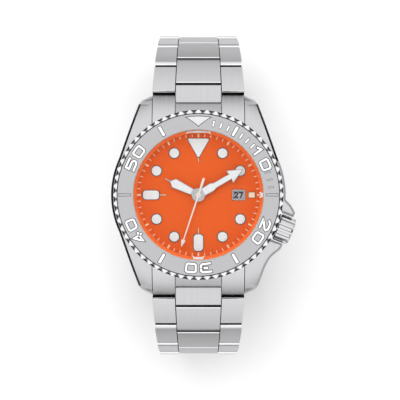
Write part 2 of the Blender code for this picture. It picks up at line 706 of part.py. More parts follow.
def link_mesh(name, fork):
    """One H-shaped link 22 mm wide: two outer plates, a middle block, a bar and a pin.

    The last link of the 6 o'clock side is a fork, whose arms take the clasp's inner blade.
    """
    half = LUG_WIDTH / 2
    plate_inner = CENTRE_HALF_WIDTH + SIDE_SEAM
    plate_end = LINK_PITCH - LINK_KNUCKLE - LINK_END_GAP
    centre = prism(name, [centre_block_outline(not fork)], -CENTRE_HALF_WIDTH, CENTRE_HALF_WIDTH, None, True)
    if fork:
        knuckle = arc((LINK_PITCH, 0), LINK_KNUCKLE, -90, 90, KNUCKLE_STEPS)
        outline = arc((0, 0), LINK_KNUCKLE, 90, 270, KNUCKLE_STEPS) + knuckle
    else:
        outline = side_plate_outline(plate_end)
        cut(centre, rod_x(name + "_hole", PIN_HOLE_RADIUS, -8, 8, LINK_PITCH, 0, cutters))
    for side, low, high in (("left", -half, -plate_inner), ("right", plate_inner, half)):
        plate = prism(name + "_" + side, [outline], low, high, cutters, True)
        if fork:
            cut(plate, rod_x(name + "_bar_hole_" + side, PIN_HOLE_RADIUS, -12, 12, LINK_PITCH, 0, cutters))
        join(centre, plate)
    bar = box(name + "_bar", (0, LINK_PITCH / 2, 0), (2 * half - 2, 2.4, 1.9), cutters)
    pin = rod_x(name + "_pin", PIN_RADIUS, -half + 1, half - 1, 0, 0, cutters)
    join(centre, bar, pin)
    apply_modifiers(centre)
    mesh = centre.data
    bpy.data.objects.remove(centre, do_unlink=True)
    return mesh


def taper_link(mesh, number):
    """Narrow a link from its own hinge's width to the next one's."""
    near = bracelet_width(number) / LUG_WIDTH
    far = bracelet_width(number + 1) / LUG_WIDTH
    for vertex in mesh.vertices:
        share = vertex.co.y / (LINK_PITCH * MM)
        vertex.co.x *= near + (far - near) * share


def hinge_points():
    """The bracelet's hinges on the 12 o'clock side, from the case to the clasp."""
    points = [(FIRST_HINGE_Y, FIRST_HINGE_Z)]
    for tilt in LINK_TILTS:
        y, z = points[-1]
        lean = math.radians(tilt)
        points.append((y + LINK_PITCH * math.cos(lean), z - LINK_PITCH * math.sin(lean)))
    return points


def build_bracelet():
    """Fourteen links, seven a side, each with its origin on its own hinge."""
    plain = link_mesh("plain_link", False)
    fork = link_mesh("fork_link", True)
    hinges = hinge_points()
    for clock, side in (("12", 1), ("6", -1)):
        for number in range(LINK_COUNT):
            is_fork = side < 0 and number == LINK_COUNT - 1
            mesh = (fork if is_fork else plain).copy()
            taper_link(mesh, number)
            link = link_object("link_%s_%d" % (clock, number + 1), mesh, parts)
            y, z = hinges[number]
            turn = 0 if side > 0 else math.pi
            link.location = (0, side * y * MM, z * MM)
            link.rotation_euler = (-math.radians(LINK_TILTS[number]), 0, turn)
            finish_part(link, BRUSHED_STEEL)


# ---- Clasp ------------------------------------------------------------------------------
CLASP_END_Y, CLASP_END_Z = hinge_points()[-1]
CLASP_CENTRE_Z = CLASP_END_Z + math.sqrt(CLASP_ARC_RADIUS**2 - CLASP_END_Y**2)
CLASP_END_DEG = math.degrees(math.asin(CLASP_END_Y / CLASP_ARC_RADIUS))
COVER_INNER = 56.6
COVER_OUTER = 57.6
WALL_INNER = 53.9
COVER_WALL = 1.0
COVER_FREE_DEG = -22.4
COVER_ROOT_DEG = CLASP_END_DEG - 1.0
FOLD_1_DEG = -20.4
FOLD_1_RADIUS = 55.8
FOLD_2_DEG = 17.0
FOLD_2_RADIUS = 55.1
FOLD_PIN_RADIUS = 0.35
FOLD_HOLE_RADIUS = 0.43
BUTTON_DEG = 10.0
LEVER_DEG = -12.5
LEVER_RADIUS = 56.4


def clasp_point(radius, degrees):
    """A point of the clasp's arc in the YZ plane; zero degrees is straight down."""
    angle = math.radians(degrees)
    return (radius * math.sin(angle), CLASP_CENTRE_Z - radius * math.cos(angle))


def clasp_band(inner, outer, start, end, steps=6):
    """A curved strip of the clasp between two radii."""
    angles = [start + (end - start) * step / steps for step in range(steps + 1)]
    return [clasp_point(inner, a) for a in angles] + [clasp_point(outer, a) for a in reversed(angles)]


def clasp_disc(radius, centre_radius, degrees, steps=SMALL_ROUND):
    """A round outline on the clasp's arc."""
    y, z = clasp_point(centre_radius, degrees)
    return arc((y, z), radius, 0, 360 - 360 / steps, steps - 1)


def clasp_pin(name, radius, reach, centre_radius, degrees, collection=None):
    """A pin across the clasp."""
    y, z = clasp_point(centre_radius, degrees)
    return rod_x(name, radius, -reach, reach, y, z, collection)


def pivot_at(part, centre_radius, degrees):
    """Put a part's origin on its joint's axis without moving the part."""
    y, z = clasp_point(centre_radius, degrees)
    pivot = Vector((0, y * MM, z * MM))
    apply_modifiers(part)
    part.data.transform(Matrix.Translation(-pivot))
    part.location = pivot
    return part


def cover_outline(steps=10):
    """The cover from the side: a curved channel with a round eye on the bracelet's hinge."""
    angles = [COVER_FREE_DEG + (COVER_ROOT_DEG - COVER_FREE_DEG) * step / steps for step in range(steps + 1)]
    eye_start_deg = 131
    tilt = CLASP_END_DEG - 90
    centre = (CLASP_END_Y, CLASP_END_Z)
    eye = arc(centre, LINK_KNUCKLE, tilt + 90 + eye_start_deg, tilt + 90 - eye_start_deg, 8)
    inner = [clasp_point(WALL_INNER, angle) for angle in angles]
    outer = [clasp_point(COVER_OUTER, angle) for angle in reversed(angles)]
    return inner + eye + outer


def build_clasp_cover():
    """The cover: a curved outer plate with two side walls, and the pin of the outer blade."""
    width = CLASP_WALL_HALF_WIDTH
    cover = prism("clasp_cover", [cover_outline()], -width, width, None, True)
    channel = clasp_band(50.0, COVER_INNER, COVER_FREE_DEG - 5, COVER_ROOT_DEG + 5, 13)
    inside = width - COVER_WALL
    cut(cover, prism("cover_channel", [channel], -inside, inside, cutters, True))
    join(cover, clasp_pin("fold_pin_1", FOLD_PIN_RADIUS, width - 0.4, FOLD_1_RADIUS, FOLD_1_DEG, cutters))
    notch = clasp_band(55.0, 59.0, COVER_FREE_DEG - 1, -20.9, 2)
    cut(cover, prism("cover_notch", [notch], -4.4, 4.4, cutters, True))
    for number, degrees in enumerate((CLASP_END_DEG, CLASP_END_DEG - 3, CLASP_END_DEG - 6)):
        cut(cover, clasp_pin("adjust_hole_%d" % number, 0.55, 12, CLASP_ARC_RADIUS, degrees, cutters))
    button_slot = clasp_band(54.6, 56.2, BUTTON_DEG - 2.75, BUTTON_DEG + 2.75, 2)
    cut(cover, prism("button_slots", [button_slot], -12, 12, cutters, True))
    cut(cover, clasp_pin("lever_hole", 0.45, 12, LEVER_RADIUS - 0.6, LEVER_DEG, cutters))
    finish_part(pivot_at(cover, CLASP_ARC_RADIUS, CLASP_END_DEG), BRUSHED_STEEL)
    bar = clasp_pin("clasp_spring_bar_12", 0.48, width - 0.1, CLASP_ARC_RADIUS, CLASP_END_DEG)
    finish_part(bar, POLISHED_STEEL)


def build_clasp_blades():
    """The two folding blades, and the spring bar drawn back in the inner blade's tongue."""
    plate = clasp_band(55.4, 56.2, FOLD_1_DEG, FOLD_2_DEG)
    blade = prism("clasp_blade_outer", [plate], -6.5, 6.5, None, True)
    fold_1_barrel = clasp_disc(0.72, FOLD_1_RADIUS, FOLD_1_DEG)
    join(blade, prism("fold_1_barrel", [fold_1_barrel], -7.4, 7.4, cutters, True))
    barrel = clasp_disc(0.75, FOLD_2_RADIUS, FOLD_2_DEG)
    for side, low, high in (("left", -6.4, -3.2), ("right", 3.2, 6.4)):
        join(blade, prism("fold_2_barrel_" + side, [barrel], low, high, cutters, True))
    gap = clasp_band(53, 58, FOLD_2_DEG - 1.1, FOLD_2_DEG + 2, 2)
    cut(blade, prism("fold_2_gap", [gap], -3.0, 3.0, cutters, True))
    join(blade, clasp_pin("fold_pin_2", FOLD_PIN_RADIUS, 6.0, FOLD_2_RADIUS, FOLD_2_DEG, cutters))
    cut(blade, clasp_pin("fold_hole_1", FOLD_HOLE_RADIUS, 9, FOLD_1_RADIUS, FOLD_1_DEG, cutters))
    finish_part(pivot_at(blade, FOLD_1_RADIUS, FOLD_1_DEG), POLISHED_STEEL)

    wide = clasp_band(54.0, 54.8, -18.4, FOLD_2_DEG - 1.3)
    inner = prism("clasp_blade_inner", [wide], -6.4, 6.4, None, True)
    strip = clasp_band(54.0, 54.8, -CLASP_END_DEG, FOLD_2_DEG, 8)
    join(inner, prism("inner_strip", [strip], -2.8, 2.8, cutters, True))
    tongue = clasp_band(54.0, 54.8, -CLASP_END_DEG, -18.0, 3)
    join(inner, prism("tongue", [tongue], -4.0, 4.0, cutters, True))
    eye = clasp_disc(LINK_KNUCKLE, CLASP_ARC_RADIUS, -CLASP_END_DEG)
    join(inner, prism("tongue_eye", [eye], -4.0, 4.0, cutters, True))
    join(inner, prism("inner_barrel", [barrel], -2.8, 2.8, cutters, True))
    cut(
        inner,
        clasp_pin("fold_hole_2", FOLD_HOLE_RADIUS, 9, FOLD_2_RADIUS, FOLD_2_DEG, cutters),
        clasp_pin("tongue_hole", 0.6, 9, CLASP_ARC_RADIUS, -CLASP_END_DEG, cutters),
    )
    finish_part(pivot_at(inner, FOLD_2_RADIUS, FOLD_2_DEG), POLISHED_STEEL)
    bar = clasp_pin("clasp_spring_bar_6", 0.48, 3.95, CLASP_ARC_RADIUS, -CLASP_END_DEG)
    finish_part(bar, POLISHED_STEEL)


def build_clasp_controls():
    """The safety lever over the cover's free end, and the two release buttons."""
    plate = clasp_band(57.8, 58.5, -22.0, -14.1, 4)
    lever = prism("safety_lever", [plate], -9.85, 9.85, None, True)
    ear = clasp_band(54.9, 58.49, -16.5, -11.7, 3)
    stub_radius = LEVER_RADIUS - 0.6
    for side, sign in (("left", -1), ("right", 1)):
        low, high = sorted((sign * 9.25, sign * 9.84))
        join(lever, prism("lever_ear_" + side, [ear], low, high, cutters, True))
        y, z = clasp_point(stub_radius, LEVER_DEG)
        low, high = sorted((sign * 8.35, sign * 9.5))
        join(lever, rod_x("lever_stub_" + side, 0.36, low, high, y, z, cutters))
    finish_part(pivot_at(lever, stub_radius, LEVER_DEG), POLISHED_STEEL)
    head = clasp_band(54.7, 56.1, BUTTON_DEG - 2.6, BUTTON_DEG + 2.6, 2)
    flange = clasp_band(54.2, 56.4, BUTTON_DEG - 3.2, BUTTON_DEG + 3.2, 2)
    for side, sign in (("left", -1), ("right", 1)):
        low, high = sorted((sign * 7.5, sign * 9.85))
        button = prism("push_button_" + side, [head], low, high, None, True)
        low, high = sorted((sign * 7.4, sign * 8.0))
        join(button, prism("button_flange_" + side, [flange], low, high, cutters, True))
        finish_part(button, POLISHED_STEEL)


build_mid_case()
build_case_back()
build_crystal()
build_dial()
build_end_link("end_link_12", 1)
build_end_link("end_link_6", -1)
build_spring_bar("spring_bar_12", 1)
build_spring_bar("spring_bar_6", -1)
build_movement()
build_motion_work()
build_hands()
build_bezel()
build_crown()
build_bracelet()
build_clasp_cover()
build_clasp_blades()
build_clasp_controls()
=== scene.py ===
"""Looks of the dive watch: finely modelled steel, dial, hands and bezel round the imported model.

Lengths in this file are millimetres; MM turns them into metres. The dial faces +Z, 12 o'clock
is +Y, and the origin is the centre of the case back's outer face.
"""

import math

import bmesh
import bpy
from mathutils import Matrix, Vector

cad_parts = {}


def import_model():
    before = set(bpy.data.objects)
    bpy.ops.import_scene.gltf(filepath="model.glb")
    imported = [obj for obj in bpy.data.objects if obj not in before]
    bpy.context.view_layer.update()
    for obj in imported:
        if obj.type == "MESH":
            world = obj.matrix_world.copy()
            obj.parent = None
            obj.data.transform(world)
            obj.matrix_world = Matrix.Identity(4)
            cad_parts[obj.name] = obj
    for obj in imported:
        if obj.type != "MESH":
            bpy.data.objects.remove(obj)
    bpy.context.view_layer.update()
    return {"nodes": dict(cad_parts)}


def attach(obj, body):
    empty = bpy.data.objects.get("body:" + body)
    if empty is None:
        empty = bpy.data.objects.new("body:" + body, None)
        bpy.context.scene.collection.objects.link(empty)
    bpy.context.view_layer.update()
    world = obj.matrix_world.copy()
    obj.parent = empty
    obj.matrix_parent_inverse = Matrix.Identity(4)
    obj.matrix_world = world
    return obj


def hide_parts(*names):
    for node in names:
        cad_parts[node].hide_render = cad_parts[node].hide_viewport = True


MM = 0.001
MERGE_DISTANCE = 1e-7
BUMP_DEPTH = 2e-5

# ---- Dimensions shared with the CAD model ----
LUG_WIDTH = 22.0
LUG_TIP_Y = 23.9
LUG_INNER_X = 11.1
CASE_RADIUS = 20.75
CASE_BOTTOM = 1.2
CASE_TOP = 8.6
BORE_RADIUS = 15.75
NECK_RADIUS = 16.9
NECK_TOP = 10.55
END_LINK_GAP_RADIUS = 18.4
SHOULDER_START_Y = 12.0
SHOULDER_ARC_RADIUS = 19.7
BEZEL_RADIUS = 20.1
BEZEL_BOTTOM = 8.9
BEZEL_SCALLOPS = 60
SCALLOP_DEPTH = 0.55
INSERT_INNER_RADIUS = 15.42
INSERT_OUTER_RADIUS = 19.1
INSERT_TOP = 11.35
DIAL_TOP = 7.0
DATE_WINDOW_X = 9.6
CROWN_ANGLE = math.radians(-21.7)
CROWN_AXIS_Z = 5.1
CROWN_RADIUS = 3.25
CROWN_START = 20.3
CROWN_END = 24.15
CROWN_FLUTES = 14
POCKET_HALF_WIDTH = 3.5
POCKET_FLOOR = 19.9
HOUR_ANGLE = math.radians(154.0)
MINUTE_ANGLE = math.radians(30.0)
SECONDS_ANGLE = math.radians(-108.3)
LINK_COUNT = 7
LINK_PITCH = 6.8
LINK_KNUCKLE = 1.45
KNUCKLE_GAP = 0.1
LINK_END_GAP = 0.15
LINK_TILTS = [25, 50, 70, 97, 120, 140, 160]
FIRST_HINGE = (25.7, 3.0)
CLASP_WIDTH = 18.0
CENTRE_HALF_WIDTH = 5.42
PLATE_INNER = 5.62
CLASP_ARC_RADIUS = 55.0
TOP_CROWN = 0.1
COVER_INNER = 56.6
COVER_OUTER = 57.6
WALL_INNER = 53.9
COVER_FREE_DEG = -22.4
CLASP_WALL_HALF_WIDTH = 9.1
# Pivots on the clasp's arc, each as a radius and an angle in degrees.
LEVER_PIVOT = (55.8, -12.5)
FOLD_PIVOT = (55.8, -20.4)

# ---- Dimensions of the looks only ----
CASE_CHAMFER = 0.55
END_LINK_START_Y = 14.2
NOSE_START_Y = 22.16
SCALLOP_HALF_WIDTH = 0.35
GRIP_INNER_RADIUS = 17.05
HOUR_DOT_REACH = 11.5
HOUR_DOT_RADIUS = 1.33
HAND_THICKNESS = 0.2
DATE_SHOWN = 27
CROWN_GROOVE_SHARE = 0.55
CROWN_CAP_RADIUS = 2.35
REHAUT_RADIUS = 15.24
INSERT_FACE = INSERT_TOP - 0.08
UNROLL_RADIUS = 17.26
MINUTE_ARC = UNROLL_RADIUS * math.radians(6)
OUTLINE_RISE = 0.02
MARK_RISE = 0.05
FLOOR_DEPTH = 0.0386


# ---- Materials ----
def link_nodes(tree, *pairs):
    """Join node sockets, each pair given as an output and an input."""
    for source, target in pairs:
        tree.links.new(source, target)


def new_material(name, colour, roughness, metallic):
    """A Principled material with constant values, returned with its tree and shader."""
    result = bpy.data.materials.new(name)
    result.use_nodes = True
    tree = result.node_tree
    shader = tree.nodes["Principled BSDF"]
    shader.inputs["Base Color"].default_value = (*colour, 1.0)
    shader.inputs["Roughness"].default_value = roughness
    shader.inputs["Metallic"].default_value = metallic
    return result, tree, shader


def stretched_noise(tree, scale, detail=3.0):
    """Noise in the object's own space, stretched by a different scale along each axis."""
    coordinates = tree.nodes.new("ShaderNodeTexCoord")
    mapping = tree.nodes.new("ShaderNodeMapping")
    mapping.inputs["Scale"].default_value = scale
    noise = tree.nodes.new("ShaderNodeTexNoise")
    noise.inputs["Scale"].default_value = 1.0
    noise.inputs["Detail"].default_value = detail
    link_nodes(
        tree,
        (coordinates.outputs["Object"], mapping.inputs["Vector"]),
        (mapping.outputs["Vector"], noise.inputs["Vector"]),
    )
    return noise


def ramp(tree, source, stops):
    """A colour ramp with the given (position, colour) stops, fed by a value."""
    node = tree.nodes.new("ShaderNodeValToRGB")
    elements = node.color_ramp.elements
    while len(elements) < len(stops):
        elements.new(0.5)
    for element, (position, colour) in zip(elements, stops):
        element.position = position
        element.color = (*colour, 1.0)
    tree.links.new(source, node.inputs["Fac"])
    return node


def grey(value):
    """A neutral colour."""
    return (value, value, value * 1.01)


def shades(colour, spread):
    """A slightly darker and a slightly lighter version of a colour."""
    dark = tuple(channel * (1 - spread) for channel in colour)
    light = tuple(min(1.0, channel * (1 + spread)) for channel in colour)
    return dark, light


def line_noise(tree, scale, detail):
    """Noise along a single value, such as a radius or an angle."""
    noise = tree.nodes.new("ShaderNodeTexNoise")
    noise.noise_dimensions = "1D"
    noise.inputs["Scale"].default_value = scale
    noise.inputs["Detail"].default_value = detail
    return noise


def vary_colour(tree, shader, source, colours, start=0.3, stop=0.7):
    """Let a value move the base colour from the first colour to the second."""
    tint = ramp(tree, source, [(start, colours[0]), (stop, colours[1])])
    tree.links.new(tint.outputs["Color"], shader.inputs["Base Color"])


def vary_roughness(tree, shader, source, smooth, rough, start, stop):
    """Let a value move the roughness between two limits."""
    limits = ramp(tree, source, [(start, grey(smooth)), (stop, grey(rough))])
    tree.links.new(limits.outputs["Color"], shader.inputs["Roughness"])


def add_bump(tree, shader, source, strength):
    """Let a value raise and lower the surface by a hair."""
    height = tree.nodes.new("ShaderNodeBump")
    height.inputs["Strength"].default_value = strength
    height.inputs["Distance"].default_value = BUMP_DEPTH
    link_nodes(
        tree,
        (source, height.inputs["Height"]),
        (height.outputs["Normal"], shader.inputs["Normal"]),
    )


def brushed(name, level, roughness):
    """Steel with fine lines along the bracelet that vary colour, roughness and height."""
    result, tree, shader = new_material(name, grey(level), roughness, 1.0)
    lines = stretched_noise(tree, (9000, 60, 60)).outputs["Fac"]
    vary_colour(tree, shader, lines, (grey(level - 0.025), grey(level + 0.025)))
    vary_roughness(tree, shader, lines, roughness - 0.07, roughness + 0.07, 0.3, 0.7)
    add_bump(tree, shader, lines, 0.04)
    return result


def polished(name, level, roughness):
    """Polished steel with faint wear."""
    result, tree, shader = new_material(name, grey(level), roughness, 1.0)
    wear = stretched_noise(tree, (900, 900, 900), 4.0).outputs["Fac"]
    vary_roughness(tree, shader, wear, roughness - 0.04, roughness + 0.06, 0.35, 0.75)
    return result


def turned_steel(name, level, roughness):
    """Steel brushed in circles round the watch's axis."""
    result, tree, shader = new_material(name, grey(level), roughness, 1.0)
    coordinates = tree.nodes.new("ShaderNodeTexCoord")
    flatten = tree.nodes.new("ShaderNodeVectorMath")
    flatten.operation = "MULTIPLY"
    flatten.inputs[1].default_value = (1, 1, 0)
    radius = tree.nodes.new("ShaderNodeVectorMath")
    radius.operation = "LENGTH"
    grooves = line_noise(tree, 9000, 2.0)
    link_nodes(
        tree,
        (coordinates.outputs["Object"], flatten.inputs[0]),
        (flatten.outputs["Vector"], radius.inputs[0]),
        (radius.outputs["Value"], grooves.inputs["W"]),
    )
    vary_colour(tree, shader, grooves.outputs["Fac"], (grey(level - 0.02), grey(level + 0.02)))
    add_bump(tree, shader, grooves.outputs["Fac"], 0.04)
    return result


def grained(name, colour, roughness, spread=0.08, metallic=0.0):
    """Paint, plastic, rubber, lume or cast metal with a fine grain in colour and height."""
    result, tree, shader = new_material(name, colour, roughness, metallic)
    shader.inputs["Specular IOR Level"].default_value = 0.2
    grain = stretched_noise(tree, (1500, 1500, 1500), 4.0).outputs["Fac"]
    vary_colour(tree, shader, grain, shades(colour, spread), 0.35, 0.65)
    add_bump(tree, shader, grain, 0.05)
    return result


def sunburst(name, colour):
    """Lacquer over rays that run out from the dial's centre."""
    result, tree, shader = new_material(name, colour, 0.45, 0.0)
    shader.inputs["Specular IOR Level"].default_value = 0.08
    coordinates = tree.nodes.new("ShaderNodeTexCoord")
    split = tree.nodes.new("ShaderNodeSeparateXYZ")
    angle = tree.nodes.new("ShaderNodeMath")
    angle.operation = "ARCTAN2"
    rays = line_noise(tree, 60, 4.0)
    link_nodes(
        tree,
        (coordinates.outputs["Object"], split.inputs["Vector"]),
        (split.outputs["Y"], angle.inputs[0]),
        (split.outputs["X"], angle.inputs[1]),
        (angle.outputs["Value"], rays.inputs["W"]),
    )
    vary_colour(tree, shader, rays.outputs["Fac"], shades(colour, 0.06))
    return result


def clear_crystal(name):
    """Thin, clear sapphire that keeps a faint gloss."""
    result, tree, shader = new_material(name, (0.04, 0.05, 0.06), 0.03, 0.0)
    shader.inputs["Alpha"].default_value = 0.06
    shader.inputs["Specular IOR Level"].default_value = 0.25
    smudge = stretched_noise(tree, (120, 120, 120)).outputs["Fac"]
    vary_roughness(tree, shader, smudge, 0.02, 0.06, 0.4, 0.8)
    return result


CASE_BRUSHED = brushed("case_brushed", 0.42, 0.36)
LINK_BRUSHED = brushed("link_brushed", 0.45, 0.38)
CENTRE_BRUSHED = brushed("centre_brushed", 0.41, 0.38)
CLASP_BRUSHED = brushed("clasp_brushed", 0.38, 0.36)
# Painted shade: darker steel for the end link's middle slope, standing in for the shade below the bezel.
PAINTED_SHADE_SLOPE = brushed("slope_brushed_painted_shade", 0.37, 0.4)
INSERT_BRUSHED = turned_steel("insert_brushed", 0.35, 0.4)
BACK_TURNED = turned_steel("back_turned", 0.42, 0.28)
# Painted dark reflection and shade: near-black steel on the case chamfers and on the insert's outer wall.
DARK_REFLECTION_AND_SHADE = polished("painted_dark_reflection_and_shade", 0.015, 0.3)
# Painted shade: near-black steel in the gaps between links, on the end links, the inner bars and the
# bezel's scallops.
PAINTED_SHADE_STEEL = polished("painted_shade_steel", 0.008, 0.5)
GREY_POLISH = polished("grey_polish", 0.42, 0.5)
# Partly real polish, partly painted highlight: lighter polished steel put on a band of faces chosen by how
# they face, beside each gap.
POLISH_AND_HIGHLIGHT = polished("polish_with_painted_highlight", 0.58, 0.14)
STEEL_POLISH = polished("steel_polish", 0.5, 0.14)
BEZEL_POLISH = polished("bezel_polish", 0.55, 0.16)
CROWN_POLISH = polished("crown_polish", 0.46, 0.16)
# Painted shade and dark reflection: near-black steel on the marker rims, a dark outline round each marker.
MARKER_RIM_SHADE_AND_REFLECTION = polished("marker_rim_painted_shade_and_reflection", 0.09, 0.2)
FRAME_POLISH = polished("frame_polish", 0.3, 0.2)
HAND_POLISH = polished("hand_polish", 0.4, 0.2)
DIAL_ORANGE = sunburst("dial_orange_lacquer", (0.56, 0.076, 0.004))
REHAUT_ORANGE = grained("rehaut_orange_lacquer", (0.97, 0.2, 0.035), 0.5, spread=0.03)
LUME_WHITE = grained("lume_white", (0.55, 0.56, 0.555), 0.6, spread=0.03)
CREAM_PRINT = grained("cream_print", (0.62, 0.5, 0.34), 0.55, spread=0.04)
NEEDLE_CREAM = grained("needle_cream", (0.56, 0.5, 0.44), 0.4, spread=0.02)
MARK_WHITE = grained("mark_white", (0.66, 0.66, 0.655), 0.5, spread=0.03)
MARK_GREY = grained("mark_grey", (0.05, 0.05, 0.055), 0.5, spread=0.05)
TRIANGLE_GREY = grained("triangle_grey", (0.44, 0.44, 0.445), 0.4, spread=0.03)
DATE_INK = grained("date_ink", (0.001, 0.001, 0.01), 0.5, spread=0.1)
DATE_DISC = grained("date_disc", (0.4, 0.4, 0.42), 0.45, spread=0.04)
RUBBER = grained("rubber_black", (0.02, 0.02, 0.021), 0.7, spread=0.2)
WHITE_PLASTIC = grained("plastic_white", (0.5, 0.5, 0.48), 0.5, spread=0.04)
BRASS = grained("brass_machined", (0.72, 0.50, 0.20), 0.32, metallic=1.0)
CIRCUIT_GREEN = grained("circuit_green", (0.03, 0.22, 0.08), 0.45, spread=0.2)
COPPER = grained("copper_wire", (0.70, 0.30, 0.15), 0.35, spread=0.15, metallic=1.0)
CRYSTAL_CLEAR = clear_crystal("crystal_clear")


# ---- Modelling helpers ----
def link_object(name, data):
    """Add an object with a mesh, a light or another kind of data to the scene."""
    result = bpy.data.objects.new(name, data)
    bpy.context.scene.collection.objects.link(result)
    return result


def mesh_piece(name, work):
    """Make a piece from a finished bmesh."""
    mesh = bpy.data.meshes.new(name)
    work.to_mesh(mesh)
    work.free()
    return link_object(name, mesh)


def weld(mesh):
    """Merge double points and turn every face outwards."""
    work = bmesh.new()
    work.from_mesh(mesh)
    bmesh.ops.remove_doubles(work, verts=work.verts, dist=MERGE_DISTANCE)
    bmesh.ops.recalc_face_normals(work, faces=work.faces)
    work.to_mesh(mesh)
    work.free()


def arc(centre, radius, start_deg, end_deg, steps):
    """Points along a circular arc, both ends included."""
    points = []
    for step in range(steps + 1):
        angle = math.radians(start_deg + (end_deg - start_deg) * step / steps)
        points.append((centre[0] + radius * math.cos(angle), centre[1] + radius * math.sin(angle)))
    return points


def circle(centre, radius, steps):
    """A round outline."""
    return arc(centre, radius, 0, 360 - 360 / steps, steps - 1)


def prism(name, outlines, low, high, across_x=False):
    """Extrude flat outlines (the later ones are holes) from low to high.

    The outlines lie in XY and rise along Z, or with across_x lie in YZ and run along X.
    """
    curve = bpy.data.curves.new(name + "_outline", "CURVE")
    curve.dimensions = "2D"
    curve.fill_mode = "BOTH"
    curve.extrude = (high - low) / 2 * MM
    for outline in outlines:
        spline = curve.splines.new("POLY")
        spline.points.add(len(outline) - 1)
        for point, (first, second) in zip(spline.points, outline):
            point.co = (first * MM, second * MM, 0.0, 1.0)
        spline.use_cyclic_u = True
    guide = link_object(name + "_outline", curve)
    mesh = bpy.data.meshes.new_from_object(guide.evaluated_get(bpy.context.evaluated_depsgraph_get()))
    bpy.data.objects.remove(guide, do_unlink=True)
    bpy.data.curves.remove(curve)
    mesh.name = name
    mesh.transform(Matrix.Translation((0, 0, (low + high) / 2 * MM)))
    if across_x:
        mesh.transform(Matrix(((0, 0, 1, 0), (1, 0, 0, 0), (0, 1, 0, 0), (0, 0, 0, 1))))
    weld(mesh)
    return link_object(name, mesh)


def rings_mesh(name, rings):
    """Join rings of equal length into a closed tube whose last ring meets its first."""
    count = len(rings[0])
    points = [tuple(c * MM for c in point) for ring in rings for point in ring]
    faces = []
    for level in range(len(rings)):
        above = (level + 1) % len(rings)
        for step in range(count):
            following = (step + 1) % count
            faces.append((
                level * count + step,
                level * count + following,
                above * count + following,
                above * count + step,
            ))
    mesh = bpy.data.meshes.new(name)
    mesh.from_pydata(points, [], faces)
    weld(mesh)
    return link_object(name, mesh)


def grooved(name, angles, shares, profile):
    """Turn a closed loop of (radius, depth, height) about Z, cut in by each angle's share of depth."""
    rings = []
    for radius, depth, height in profile:
        reaches = [radius - depth * share for share in shares]
        rings.append([(r * math.cos(a), r * math.sin(a), height) for r, a in zip(reaches, angles)])
    return rings_mesh(name, rings)


def turned(name, profile, steps=144):
    """Turn a closed loop of (radius, height) points about Z."""
    angles = [2 * math.pi * step / steps for step in range(steps)]
    return grooved(name, angles, [0] * steps, [(radius, 0, height) for radius, height in profile])


def disc(name, radius, low, high, steps=96):
    """A plain cylinder about Z."""
    return prism(name, [circle((0, 0), radius, steps)], low, high)


def box(name, centre, size):
    """A rectangular block."""
    work = bmesh.new()
    bmesh.ops.create_cube(work, size=MM)
    bmesh.ops.scale(work, vec=Vector(size), verts=work.verts)
    bmesh.ops.translate(work, vec=Vector(centre) * MM, verts=work.verts)
    return mesh_piece(name, work)


def rod_x(name, radius, start, end, y=0.0, z=0.0):
    """A cylinder along X through a point of the YZ plane."""
    return prism(name, [circle((y, z), radius, 24)], start, end, True)


def bake(piece):
    """Turn a piece's modifiers into its mesh."""
    evaluated = piece.evaluated_get(bpy.context.evaluated_depsgraph_get())
    mesh = bpy.data.meshes.new_from_object(evaluated)
    piece.modifiers.clear()
    piece.data = mesh
    return piece


def combine(target, other, operation):
    """Cut, join or intersect a piece with another, which is used up."""
    modifier = target.modifiers.new("combine", "BOOLEAN")
    modifier.operation = operation
    modifier.object = other
    modifier.solver = "EXACT"
    bake(target)
    bpy.data.objects.remove(other, do_unlink=True)


def cut(target, other):
    """Take a shape away from a piece."""
    combine(target, other, "DIFFERENCE")


def join(target, other):
    """Unite a piece with a shape."""
    combine(target, other, "UNION")


def group(name, shapes):
    """Put several separate solids into one piece."""
    work = bmesh.new()
    for shape in shapes:
        shape.data.transform(shape.matrix_world)
        work.from_mesh(shape.data)
        bpy.data.objects.remove(shape, do_unlink=True)
    return mesh_piece(name, work)


def bevel(piece, width, segments, angle_deg=35):
    """Round every edge sharper than the given angle."""
    modifier = piece.modifiers.new("edges", "BEVEL")
    modifier.width = width * MM
    modifier.segments = segments
    modifier.limit_method = "ANGLE"
    modifier.angle_limit = math.radians(angle_deg)
    modifier.use_clamp_overlap = True
    return bake(piece)


def along_crown(piece):
    """Lay a piece made about Z along the crown's axis."""
    placing = Matrix.Translation((0, 0, CROWN_AXIS_Z * MM))
    placing @= Matrix.Rotation(CROWN_ANGLE, 4, "Z") @ Matrix.Rotation(math.pi / 2, 4, "Y")
    piece.data.transform(placing)
    return piece


def rotated(points, angle):
    """A flat outline turned about the watch's centre."""
    cosine = math.cos(angle)
    sine = math.sin(angle)
    return [(x * cosine - y * sine, x * sine + y * cosine) for x, y in points]


def rectangle(left, right, bottom, top):
    """The corners of a rectangle in plan."""
    return [(left, bottom), (right, bottom), (right, top), (left, top)]


def paint(piece, choose):
    """Set each face's material by its centre, in millimetres, and its normal.

    The three empty slots keep the numbers through later cuts; finish fills them.
    """
    while len(piece.data.materials) < 3:
        piece.data.materials.append(None)
    for face in piece.data.polygons:
        face.material_index = choose(face.center / MM, face.normal)


def finish(piece, body, looks, nodes=(), smooth_deg=32):
    """Give a piece its materials, its shading, its body and the CAD nodes it stands for."""
    indices = [min(face.material_index, len(looks) - 1) for face in piece.data.polygons]
    piece.data.materials.clear()
    for look in looks:
        piece.data.materials.append(look)
    piece.data.polygons.foreach_set("material_index", indices)
    piece.data.shade_smooth()
    piece.data.set_sharp_from_angle(angle=math.radians(smooth_deg))
    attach(piece, body)
    if nodes:
        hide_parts(*nodes)


